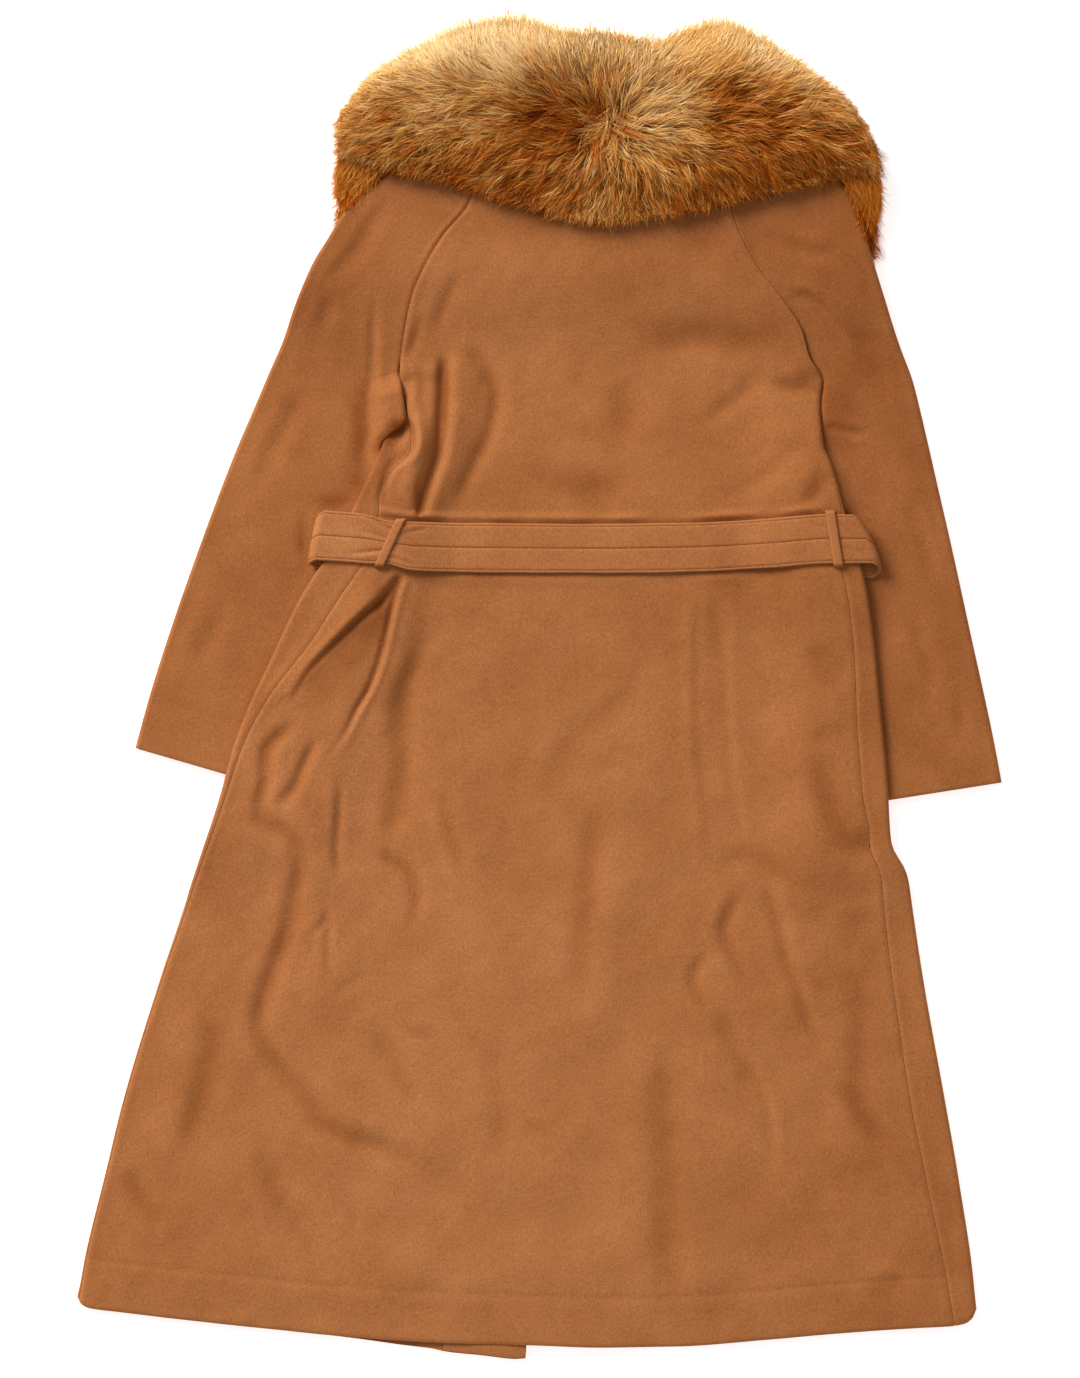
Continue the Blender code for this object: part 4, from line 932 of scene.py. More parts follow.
def top_relief(x, y, sigma):
    """Folds and creases of the back's face, with the air that the cloth holds."""
    above = y - belt_line(x)
    from_belt = np.abs(above)
    clear = ease(from_belt, 26, 120)
    puff = (0.65 + undulation(x, 0 * y, 13, [(90, 0.5), (37, 0.4)])).clip(0.1, 1.2)
    blouse = puff * ease(sigma, 10, 40) * (3.4 * bell(above, BELT_HALF + 5.8, 3.6)
                                           + 1.6 * bell(above, -BELT_HALF - 7, 5))
    air = 2.2 * ease(sigma, 12, 60) * clear * ease(y, -606, -560)
    ridges = fold_relief(x, y) * ease(from_belt, 25, 44)
    creases = 2 * crease_relief(x, y, BACK_CREASES)
    creases = np.where(creases > 0, creases * ease(from_belt, 25, 36), creases)
    waves = undulation(x, y, 11, [(170, 1.2), (70, 1.1), (30, 0.35)]) * clear
    relief = held_down(ridges + creases + waves + air + blouse, 2.5)
    return relief * ease(sigma, QUARTER + 1, QUARTER + 14)


def build_back():
    x, y, z_out, x_in, z_in, sigma, seam, rise = body_grid(
        back_section, BACK_ROWS, BACK_HEM, BACK_NECK_DROP)
    lift = body_lift(x, y) + facing_lift(x, y) + top_relief(x, y, sigma)
    outer = np.stack([x, y, z_out + lift + seam_roll(seam) + hem_roll(rise)], -1)
    piece = cloth_wall("back_panel", outer, np.stack([x_in, y, z_in + lift], -1))
    # Painted shade: darker in the troughs of the creases, and a painted shadow line just above the
    # belt's upper edge
    painted_shade = (0.15 * np.clip(crease_relief(x, y, BACK_CREASES), -1.3, 0.5)
               - 0.25 * bell(y - belt_line(x), BELT_HALF + 1, 2.2))
    finish_cloth(piece, COAT_WOOL, "back",
                 0.5 * bell(rise, 0, 5) + 0.3 * bell(seam, 0, 2.5), 0.53, painted_shade)


# Fronts

FRONT_SHARES = np.linspace(0, 1, 44)[1:]
FRONT_ROWS = spaced(568, 30, 330, 66, -60, 70, -588, 5, HEM_ROW)
WRAP_TOP = 10
WRAP_ARC = 12


def front_section(s, side):
    """Section of a front, from its side seam round the fold to its front edge."""
    count = WRAP_TOP + WRAP_ARC + 1
    if s > ARMPIT_Y:
        away = np.linspace(0, 9, count)
        x = value_at(RAGLANS, s, WORD[side]) - side * (SEAM_GAP / 2 + away)
        turn = level_part(x, 0, CLOTH, 0, away)
    else:
        start = value_at(WRAPS, s, WORD[side]) - (SEAM_GAP / 2 if s < ARMPIT_Y else 0)
        path = np.linspace(start, -QUARTER, count)
        if start > QUARTER * 1.6:
            lead = (np.arange(WRAP_TOP) / WRAP_TOP) ** 1.5
            path = np.concatenate([start + (QUARTER - start) * lead,
                                   np.linspace(QUARTER, -QUARTER, WRAP_ARC + 1)])
        turn = np.stack([*fold_points(side_edge(s, side), side, path), path, start - path])
    y_edge = row_y(front_edge(s, side), s, HEMS[side], FRONT_NECK_DROP)
    start, stop = turn[0, -1], front_edge(y_edge, side)
    x = start + (stop - start) * FRONT_SHARES
    level = level_part(x, 0, CLOTH, -FAR, turn[5, -1] + np.abs(x - start))
    return np.concatenate([turn, level], axis=1)


def build_front(side, name, node):
    x, y, z_out, x_in, z_in, sigma, seam, rise = body_grid(
        lambda s: front_section(s, side), FRONT_ROWS, HEMS[side], FRONT_NECK_DROP)
    on_top = ease(z_out, FOLD_R, FOLD_R + 2)
    lift = body_lift(x, y) + on_top * (facing_lift(x, y) + top_relief(x, y, sigma))
    if side < 0:
        lift = lift + (1 - on_top) * lap_lift(x, y)
    dents = crease_relief(x, y, FRONT_CREASES) * ease(seam, 16, 40) * (1 - on_top)
    lift = lift + np.minimum(-dents, 0.9)
    edges = seam_roll(seam) + np.where(y < -100, hem_roll(rise), 0)
    outer = np.stack([x, y, z_out + lift + on_top * edges], -1)
    piece = cloth_wall(name, outer, np.stack([x_in, y, z_in + lift], -1))
    finish_cloth(piece, COAT_WOOL, node,
                 0.5 * bell(rise, 0, 5) + 0.3 * bell(seam, 0, 2.5) * on_top)


def build_facing():
    """Facing on the inside of the left front, where it shows at the hem."""
    s = np.linspace(-573, HEM_ROW, 14)[:, None]
    edge_x = front_edge(row_y(-12, s, LEFT_FRONT_HEM, 0), -1) - 0.6
    x = -93 + (edge_x + 93) * np.linspace(0, 1, 26)
    y = row_y(x, s, LEFT_FRONT_HEM, 0) + np.where(s <= HEM_ROW + 0.01, 0.8, 0)
    z = CLOTH + REST + lap_lift(x, y)
    top = z + FACING_THICK - 0.5 * bell(s, HEM_ROW, 1.2)
    piece = cloth_wall("front_facing", np.stack([x, y, top], -1), np.stack([x, y, z], -1))
    finish_cloth(piece, COAT_WOOL, "left_front_facing", 0.15)


# Sleeves

SLEEVE_STEPS = (0, 0.06, 0.14, 0.24, 0.36, 0.48, 0.60, 0.72, 0.83, 0.92)
SLEEVE_SHARES = np.linspace(0, 1, 46)[1:]


def sleeve_stations(side):
    """Inner and outer ends of each section of a sleeve, from cuff to neck, and whether
    the sleeve is a tube there."""
    def outer(rows, part):
        return [value_at(rows, part, WORD[side] + axis) for axis in ("_x", "_y")]

    cuff = np.array(CUFF_INNER[side])
    armpit = np.array([ARMPIT_X[side] + side * SEAM_GAP / 2, ARMPIT_Y])
    stations = [(cuff + (armpit - cuff) * part, outer(SLEEVE_EDGES, part), 1)
                for part in SLEEVE_STEPS]
    stations.append((armpit, outer(SHOULDERS, 0), 1))
    for s in np.linspace(ABOVE_ARMPIT_Y, NECK_Y, 26):
        inner = (value_at(RAGLANS, s, WORD[side]) + side * SEAM_GAP / 2, s)
        stations.append((inner, outer(SHOULDERS, (s - ARMPIT_Y) / (NECK_Y - ARMPIT_Y)), 0))
    return stations


def sleeve_section(inner, outer, tube, upper):
    """Points of a sleeve half's section, both faces, and distances from its two seams."""
    (ix, iy), (ox, oy) = inner, outer
    width = math.hypot(ox - ix, oy - iy)
    ex, ey = (ox - ix) / width, (oy - iy) / width
    high, low = (FLAT, FLAT - CLOTH) if upper else (0, CLOTH)
    steps = np.array([0, 0.12, 0.26, 0.42, 0.6, 0.8, 1])
    if tube:
        sigma = SEAM_GAP / 2 + (QUARTER - SEAM_GAP / 2) * steps
        start = np.stack(fold_points(0, -1, sigma if upper else -sigma))
    else:
        start = level_part(steps * 4.5, high, low)
    begin = start[0, -1]
    stop = width - FOLD_R
    if upper:
        stop -= OVERARM_SEAM - QUARTER + OVERARM_GAP
        run = np.concatenate([begin + (stop - 7.5 - begin) * SLEEVE_SHARES,
                              stop - np.array([6, 4.4, 3.2, 2.2, 1.4, 0.7, 0])])
        parts = [start, level_part(run, high, low)]
        overarm = stop - run
    else:
        run = begin + (stop - begin) * SLEEVE_SHARES
        last = np.array([0.3, 0.55, 0.75, 0.9, 1])
        path = np.concatenate([np.linspace(-QUARTER, QUARTER, 13)[1:],
                               QUARTER + (OVERARM_SEAM - QUARTER) * last])
        parts = [start, level_part(run, high, low), np.stack(fold_points(width, 1, path))]
        overarm = np.concatenate([np.full(len(run), FAR), OVERARM_SEAM - path])
    p_out, z_out, p_in, z_in = np.concatenate(parts, axis=1)
    seam = np.concatenate([steps * QUARTER, QUARTER + run - begin])
    seam = np.pad(seam, (0, len(p_out) - len(seam)), constant_values=FAR)
    overarm = np.pad(overarm, (len(steps), 0), constant_values=FAR)
    return np.stack([ix + ex * p_out, iy + ey * p_out, z_out, ix + ex * p_in, iy + ey * p_in,
                     z_in, seam, overarm, np.full(len(p_out), tube)])


def underarm(x, y, inner, side):
    """Shift and rise of a sleeve's inner edge beside the body: on the right it tucks in
    against the body's fold, and on the left it bulges over it. Above the belt it fills
    the room under the body's edge."""
    beside = side * (x - side_edge(y, side))
    prop = np.maximum(belt_lift(x, y) - 0.6, 0) * (1 - ease(beside, 0, 15))
    prop = prop * ease(y, 170.8, 174) * ease(y, 238, 220)
    if side < 0:
        out = (value_at(BULGE_EDGE, y, "out") * ease(inner, 34, 0)
               + 0.35 * bell(y, 317, 13) * ease(inner, 20, 0)
               + 8 * ease(y, 238, 216) * ease(y, 171.5, 179) * ease(inner, 34, 4))
        high = ease(y + 0.3 * (ARMPIT_X[-1] - x), *BULGE_TOP) * ease(y, *BULGE_END)
        across = 0.6 * ease(x + out, *BULGE_SIDE) + 0.4 * ease(x + out, -168, -140)
        return out, BULGE_HIGH * high * across + prop
    lift = SLEEVE_LIFT * ease(y, *SLEEVE_LIFT_Y)
    round_gap = np.sqrt(np.maximum((FLAT + SEAM_GAP) ** 2 - lift ** 2, 1)) - FLAT
    tuck = np.clip(side_edge(y, side) + round_gap - sleeve_inner(y, side), -7, 0)
    tuck = (tuck * ease(y, 205, 236) * (y < ARMPIT_Y)
            - 0.3 * ease(y, 255, 275) * (1 - ease(y, 298, 312))
            - 0.6 * bell(y, 302, 10) - 0.6 * bell(y, 282, 12))
    return tuck * ease(inner, 60, 0), prop


def build_sleeve(side, upper, name, node):
    stations = sleeve_stations(side)
    way = way_along([np.add(inner, outer) / 2 for inner, outer, _ in stations])
    turn = way[len(SLEEVE_STEPS)]
    dense = 1 if upper else 0.6
    rows = np.concatenate([[0, 0.7, 1.6, 3], spaced(
        5, int(54 * dense), turn - 90, int(48 * dense), turn + 6, int(72 * dense), way[-1])])
    fine = fair(rows, way, np.array([sleeve_section(*ends, upper) for ends in stations]))
    x, y, z_out, x_in, y_in, z_in, seam, overarm, tube = fine.transpose(1, 0, 2)
    from_cuff = np.broadcast_to(rows[:, None], x.shape)
    roll = seam_roll(seam)
    if side > 0:
        roll = roll + (0.8 * bell(seam, 1, 2.4) - roll) * ease(y, 345, 375)
    edges = (np.where(tube > 0.5, 0, roll) + hem_roll(from_cuff)
             + 0.55 * bell(seam, 3.8, 2.4) * ease(y, 400, 440))
    out, up = underarm(x, y, seam, side)
    if upper:
        free = np.where(y > ARMPIT_Y, 1, ease(side * (x - side_edge(y, side)), 3, 16))
        relief = (1.5 * crease_relief(x, y, SLEEVE_CREASES)
                  + undulation(x, y, 23 + side, [(120, 1.1), (50, 0.4)]))
        relief = relief * ease(overarm, 4, 18) * ease(seam, 2, 14)
        up = up + held_down(relief, 2.4) * free
        if side > 0:
            up = up - 1.7 * ease(seam, 13, 3) * bell(y, 327, 26)
    else:
        arc = ease(seam, QUARTER, 0)
        out, up = out * arc, up * arc
    lift = collar_lift(y) + up
    edges = edges * ease(z_out, FOLD_R, FOLD_R + 2)
    piece = cloth_wall(name, np.stack([x + out, y, z_out + lift + edges], -1),
                       np.stack([x_in + out, y_in, z_in + lift], -1))
    finish_cloth(piece, COAT_WOOL, node, 0.7 * bell(from_cuff, 0, 5))


# Belt

STITCH_PITCH = 3.6
STITCH_LONG = 2.7
STITCH_THICK = 0.45


def belt_heights(x):
    """Middle of the belt over the back and under the fronts, in height."""
    lifts = np.array([body_lift(x, belt_line(x) + t) for t in np.linspace(-28, 28, 15)])
    half = BELT_THICK / 2
    return FLAT + lifts.max(axis=0) + REST + half, np.maximum(lifts.min(axis=0) - REST - half,
                                                              half)


def belt_route():
    """Middle of the belt all round: x, y and height."""
    edges = [side_edge(142, side) - side * 6 for side in (-1, 1)]

    def level(x, over):
        found = [belt_heights(np.clip(x + dx, *edges)) for dx in (-8, -4, 0, 4, 8)]
        high, low = zip(*found)
        return np.max(high, axis=0) if over else np.min(low, axis=0)

    def under(x):
        y = belt_line(x) - value_at(BELT_LINE, x, "drop")
        return np.stack([x, y, level(x, False)], -1)

    def curl(side):
        turn = np.array([BELT_ENDS[side] - side * BELT_THICK / 2])
        low, high = level(turn, False), level(turn, True)
        radius = (high - low) / 2
        angle = np.linspace(-math.pi / 2, math.pi / 2, 21)
        x = turn + side * (radius * np.cos(angle) - radius)
        y = belt_line(turn) - value_at(BELT_LINE, turn, "drop") * np.linspace(1, 0, 21)
        return np.stack([x, y, (low + high) / 2 + radius * np.sin(angle)], -1)

    left, right = curl(-1), curl(1)
    x = np.linspace(left[-1, 0], right[-1, 0], 200)[1:-1]
    return np.concatenate([
        under(np.linspace(BELT_BACK_MEET[0], left[0, 0], 70)[:-1]), left,
        np.stack([x, belt_line(x), level(x, True)], -1), right[::-1],
        under(np.linspace(right[0, 0], BELT_BACK_MEET[1], 70)[1:])])


def belt_normals(route):
    """Direction across the belt's thickness at each point of its route."""
    run = np.gradient(route[:, [0, 2]], axis=0)
    run = run / np.linalg.norm(run, axis=1, keepdims=True)
    return np.stack([-run[:, 1], run[:, 0] * 0, run[:, 0]], -1)


def slant_ends(points, w):
    """Belt's points with the fold at each end slanted across the belt, and the belt drawn
    together in its left loop."""
    x, y, z = np.moveaxis(points, -1, 0)
    y = y - 0.11 * w * bell(x, LEFT_LOOP_X, 14)
    share = np.clip((w + BELT_HALF) / BELT_WIDE, 0, 1) ** 1.5
    for side, slant in BELT_SLANT.items():
        end = side * BELT_ENDS[side]
        x = x - side * slant * share * ease(side * x, end - 70, end)
    return np.stack([x, y, z], -1)


def belt_dents(x, w):
    """Creases that run from a loop into the belt's face."""
    total = np.zeros(x.shape)
    for mid_x, mid_w, degrees, long, deep in zip(*BELT_CREASES.values()):
        cos, sin = math.cos(math.radians(degrees)), math.sin(math.radians(degrees))
        along = ((x - mid_x) * cos + (w - mid_w) * sin) / long
        across = (w - mid_w) * cos - (x - mid_x) * sin
        fade = ease(along, -0.15, 0.1) * (1 - ease(along, 0.4, 1))
        total -= deep * fade * (bell(across, 0, 1.7) - 0.5 * bell(across, 4, 2.6))
    return total


def build_belt():
    route = belt_route()
    way = way_along(route)
    half_w, half_h = BELT_SECTION["w"], BELT_SECTION["h"]
    w = np.concatenate([-half_w[:0:-1], half_w])
    h = np.concatenate([half_h[:0:-1], half_h])
    ring_w, ring_h = np.concatenate([w, w[::-1]]), np.concatenate([h, -h[::-1]])
    sway = 0.35 * np.sin(way / 23) + 0.25 * np.sin(way / 9 + 1)
    edge = np.clip(np.abs(ring_w) - 20, 0, None) / 4.5 * np.sign(ring_w) * 0.6
    points = route[:, None] + belt_normals(route)[:, None] * ring_h[:, None]
    points[:, :, 1] += ring_w + sway[:, None] * edge
    points = slant_ends(points, ring_w)
    over = (way > 200) & (route[:, 2] > FLAT)
    points[:, :, 2] += belt_dents(points[:, :, 0], ring_w) * (ring_h > 0) * over[:, None]
    count, size = points.shape[:2]
    i = np.arange(size // 2 - 1)
    cap = np.stack([i, i + 1, size - 2 - i, size - 1 - i], -1)
    quads = np.concatenate([grid_quads(count, size, True), cap[:, ::-1],
                            cap + (count - 1) * size])
    points = points.reshape(-1, 3)
    piece = make_mesh("tie_belt", points, outward(points, quads))
    smooth_shade(piece, 50)
    rub = np.tile(0.6 * ease(np.abs(ring_w), 21.7, BELT_HALF), count)
    finish_cloth(piece, BELT_WOOL, "belt", rub, 0.52)
    build_stitches(route, way)


def build_stitches(route, way):
    """Stitching along both edges of the belt and its middle, on both faces. Each stitch
    is a slim bar of thread that dips in at its ends."""
    normal = belt_normals(route)
    at = np.arange(6, way[-1] - 8, STITCH_PITCH)
    rows = []
    for w in (-21.1, 0, 21.1):
        for face in (1, -1):
            ends = []
            for place in (at, at + STITCH_LONG):
                spot, up = (np.stack([np.interp(place, way, line) for line in lines.T], -1)
                            for lines in (route, normal))
                up *= face / np.linalg.norm(up, axis=1, keepdims=True)
                spot += up * (1.5 if w else 1.35) + (0, w, 0)
                ends.append(slant_ends(spot, w))
            rows.append((*ends, up))
    starts, stops, normals = (np.concatenate(part) for part in zip(*rows))
    run = stops - starts
    side = np.cross(run / np.linalg.norm(run, axis=1, keepdims=True), normals)
    rings = []
    for t, wide, lift in ((0, 0.4, -0.5), (0.16, 1, 0.1), (0.84, 1, 0.1), (1, 0.4, -0.5)):
        mid = starts + run * t + normals * lift * STITCH_THICK
        for a, b in ((1, 0), (0, 1), (-1, 0), (0, -1)):
            rings.append(mid + (side * a + normals * b) * wide * STITCH_THICK / 2)
    points = np.stack(rings, axis=1)
    quads = np.concatenate([grid_quads(4, 4, True), [(3, 2, 1, 0), (12, 13, 14, 15)]])
    quads = (quads + 16 * np.arange(len(points))[:, None, None]).reshape(-1, 4)
    points = points.reshape(-1, 3)
    piece = make_mesh("belt_stitching", points, outward(points, quads))
    smooth_shade(piece, 60)
    finish_piece(piece, THREAD)


def build_loop(name, node):
    """Belt loop folded over the belt, its ends sewn flat to the side seam."""
    x_up, x_down, tall = LOOPS[node]
    steps = np.arange(len(LOOP_FOLD["t_in"]))
    along = np.linspace(0, steps[-1], 73)[:, None]
    across = np.array([-4.5, -4.25, -3.6, -2.4, -1.2, 0, 1.2, 2.4, 3.6, 4.25, 4.5])
    crown = -0.75 * (np.abs(across) / LOOP_HALF) ** 8
    faces = []
    for face, rounded in (("out", 1), ("in", 0.2)):
        t = fair(along, steps, LOOP_FOLD["t_" + face]) * tall
        x = x_up + (x_down - x_up) * (36 - t) / 72
        y = belt_line(x) + t
        base = FLAT + np.max([body_lift(x + dx, y + dy) for dx in (-6, 0, 6)
                              for dy in (-5, 0, 5)], axis=0)
        over = np.max([belt_heights(x + dx)[0] for dx in (-6, 0, 6)], axis=0)
        over = over - BELT_THICK / 2 - REST
        z = (base + (over - base) * ease(np.abs(t) / tall, 27.2, 25.2)
             + fair(along, steps, LOOP_FOLD["h_" + face]) + crown * rounded)
        faces.append(np.stack(np.broadcast_arrays(x + across, y, z), -1))
    piece = cloth_wall(name, *faces)
    finish_cloth(piece, BELT_WOOL, node, 0.25, 0.52)


# Fur collar

SKIN_INSET = 13
SKIN_SHARE = 0.5
TUFT_STEP = 3.4
TUFT_HAIRS = 12
END_TUFT_HAIRS = 6
EDGE_HAIRS = 20000
EDGE_TUFTS = 900
UNDER_HAIRS = 16000
HAIR_STEPS = (0, 0.35, 0.7, 1)
UP = np.array([0, 0, 1])


def collar_at(x, inset=0):
    """Outline, lower edges and loft of the collar at x, drawn in by an inset."""
    top, over, under, loft = (value_at(COLLAR, x, column)
                              for column in ("top", "over", "under", "loft"))
    return top - inset, over + inset * 0.5, under + inset * 0.5, loft


def shoulder_line(x):
    """Edge of the coat that the collar folds over, at x."""
    return np.minimum(*(fair(x, SHOULDERS[word + "_x"], SHOULDERS[word + "_y"])
                        for word in WORD.values()))


def shoulder_edge(y, side):
    """Shoulder edge of the coat beside the collar, at y."""
    return fair(y, SHOULDERS[WORD[side] + "_y"], SHOULDERS[WORD[side] + "_x"])


def fur_height(x, y, share, least=0):
    """Height of the fur over the back at a point, where share 1 is its full loft. Near
    the collar's edges it is taken from no nearer to them than the least share across."""
    top, over, _, loft = collar_at(x)
    across = np.clip((y - over) / (top - over), least, 1 - least)
    return FUR_SLOT_TOP + share * loft * value_at(CROWN, across, "rise")


def build_pelt():
    """Pelts of the collar under the long hair: a fold open towards the hem."""
    x = np.concatenate([[-183, -178], np.linspace(-172, 306, 84), [311, 315]])
    top, over, under, loft = collar_at(x, SKIN_INSET)
    slot = np.max([shoulder_line(x) + 6, over + 3, under + 3], axis=0)
    slot = np.minimum(slot, top - 12)
    base = FUR_SLOT_TOP + 0.05
    ring = [(under, 5), (under + 2.5, 1.6), (under + 8, 0.6)]
    ring += [(under + (top - under) * t, 0.5) for t in (0.2, 0.4, 0.6, 0.8)]
    ring += [(top - 8, 1.5), (top - 3, 5), (top, base * 0.5), (top - 1, base * 0.9)]
    for t in (0.02, 0.06, 0.12, 0.2, 0.3, 0.42, 0.54, 0.66, 0.78, 0.88, 0.95, 0.985):
        rise = max(value_at(CROWN, 1 - t, "rise"), 0.08)
        ring.append((top - t * (top - over), base + loft * SKIN_SHARE * rise))
    ring += [(over, base + 1), (over + 2, base), (slot - 1.5, base),
             (slot, (base + FUR_UNDER) / 2), (slot - 1.5, FUR_UNDER - 0.4)]
    ring += [(slot - 1.5 + (under + 9.5 - slot) * t, FUR_UNDER - 0.5 - t)
             for t in (0.25, 0.5, 0.75)]
    ring += [(under + 6, 12), (under + 1.5, 8.5)]
    points = np.concatenate([np.stack(np.broadcast_arrays(x, y, z), -1)[:, None]
                             for y, z in ring], axis=1).reshape(-1, 3)
    piece = make_mesh("collar_pelt", points,
                      outward(points, grid_quads(len(x), len(ring), True)))
    select_only(piece)
    bpy.ops.object.mode_set(mode="EDIT")
    bpy.ops.mesh.select_all(action="DESELECT")
    bpy.ops.mesh.select_non_manifold(extend=False)
    bpy.ops.mesh.fill(use_beauty=True)
    bpy.ops.mesh.select_all(action="SELECT")
    bpy.ops.mesh.normals_make_consistent(inside=False)
    bpy.ops.object.mode_set(mode="OBJECT")
    smooth_shade(piece, 60)
    finish_piece(piece, UNDERFUR, ["fur_collar"])


def combed(x, y):
    """Direction across the collar and tone of the hair at points."""
    weight = ((x[:, None] - COMB["x"]) ** 2 + (y[:, None] - COMB["y"]) ** 2 + 45) ** -1.6
    turn = np.radians(COMB["turn"])
    dx, dy = (weight * np.cos(turn)).sum(1), (weight * np.sin(turn)).sum(1)
    size = np.hypot(dx, dy)
    return dx / size, dy / size, (weight * COMB["tone"]).sum(1) / weight.sum(1)


def spots(x, y, rows):
    """Strength of the nearest spot of a table at points."""
    total = np.zeros(x.shape)
    for mid_x, mid_y, wide, strength in zip(*rows.values()):
        total = np.maximum(total, strength * bell(x, mid_x, wide) * bell(y, mid_y, wide))
    return total


def hair_room(x, y, turn, slack, edge="over", side=0):
    """Length that a hair can have before it passes the collar's outline by some slack, or
    comes over the shoulder on one side."""
    room = np.full(x.shape, 6)
    for long in np.arange(8, 50, 2):
        tip_x, tip_y = x + np.cos(turn) * long, y + np.sin(turn) * long
        inside = ((tip_y < value_at(COLLAR, tip_x, "top") + slack)
                  & (tip_y > value_at(COLLAR, tip_x, edge) - slack)
                  & (tip_x > -197 - slack) & (tip_x < 328 + slack))
        if side:
            inside &= (tip_x - shoulder_edge(tip_y, side)) * side > 1
        room = np.where(inside & (room > long - 2.5), long, room)
    return room


def floor_under(x, y):
    """Height of the coat or of the paper under the tips of the hair."""
    on_coat = (y < shoulder_line(x) + 2) & (x > -250) & (x < 350)
    return np.where(on_coat, FLAT + collar_lift(y) + 0.5, 0.6)


def hair_lines(x, y, turn, bend, long, height, spread=np.zeros(2), gather=(1, 1, 1, 1)):
    """Four points of each hair: its root, two on its bent way, and its tip. The hairs of
    a tuft are spread round its place and draw together along their way."""
    line = []
    for t, close in zip(HAIR_STEPS, gather):
        angle = turn + bend * (2 * t - 1)
        px = x + spread[..., 0] * close + np.cos(angle) * long * t
        py = y + spread[..., 1] * close + np.sin(angle) * long * t
        line.append(np.stack([px, py, height(px, py, t)], -1))
    return np.stack(line, axis=1)


def hair_mesh(name, line, outside, width, tone, chance, root=0.0):
    """Tapered hairs: line holds four points of each, outside the way that it faces, and
    root how far along the ramp from the painted root shade to the pale tip each one starts."""
    count = len(line)
    run = line[:, [1, 2, 3]] - line[:, [0, 0, 1]]
    run /= np.linalg.norm(run, axis=2, keepdims=True) + 1e-9
    across = np.cross(run, outside)
    across /= np.linalg.norm(across, axis=2, keepdims=True) + 1e-9
    roll = chance.normal(0, 0.5, count)[:, None, None]
    across = across * np.cos(roll) + np.cross(across, run) * np.sin(roll)
    across *= width[:, None, None] / 2 * np.array([0.75, 1, 0.72])[:, None]
    points = np.concatenate([line[:, :3] - across, line[:, :3] + across, line[:, 3:]], axis=1)
    first = 7 * np.arange(count)[:, None, None]
    piece = make_mesh(name, points.reshape(-1, 3), first + [(0, 3, 4, 1), (1, 4, 5, 2)],
                      first + [(2, 5, 6)])
    piece.data.polygons.foreach_set("use_smooth", np.ones(len(piece.data.polygons), bool))
    # Places on the material's map: tone across it, and root to tip along it
    tones = np.clip(tone, 0.006, 0.994)[:, None] + 0.004 * np.array([-1, -1, -1, 1, 1, 1, 0])
    begin = np.broadcast_to(root, count)[:, None]
    reach = begin + (1 - begin) * np.array([0, 0.35, 0.7, 0, 0.35, 0.7, 1])
    places = np.stack([tones, reach], -1).reshape(-1, 2)
    corner = np.empty(len(piece.data.loops), dtype=np.int32)
    piece.data.loops.foreach_get("vertex_index", corner)
    layer = piece.data.uv_layers.new(name="OFBake")
    layer.uv.foreach_set("vector", places[corner].astype(np.float32).ravel())
    finish_piece(piece, HAIR)


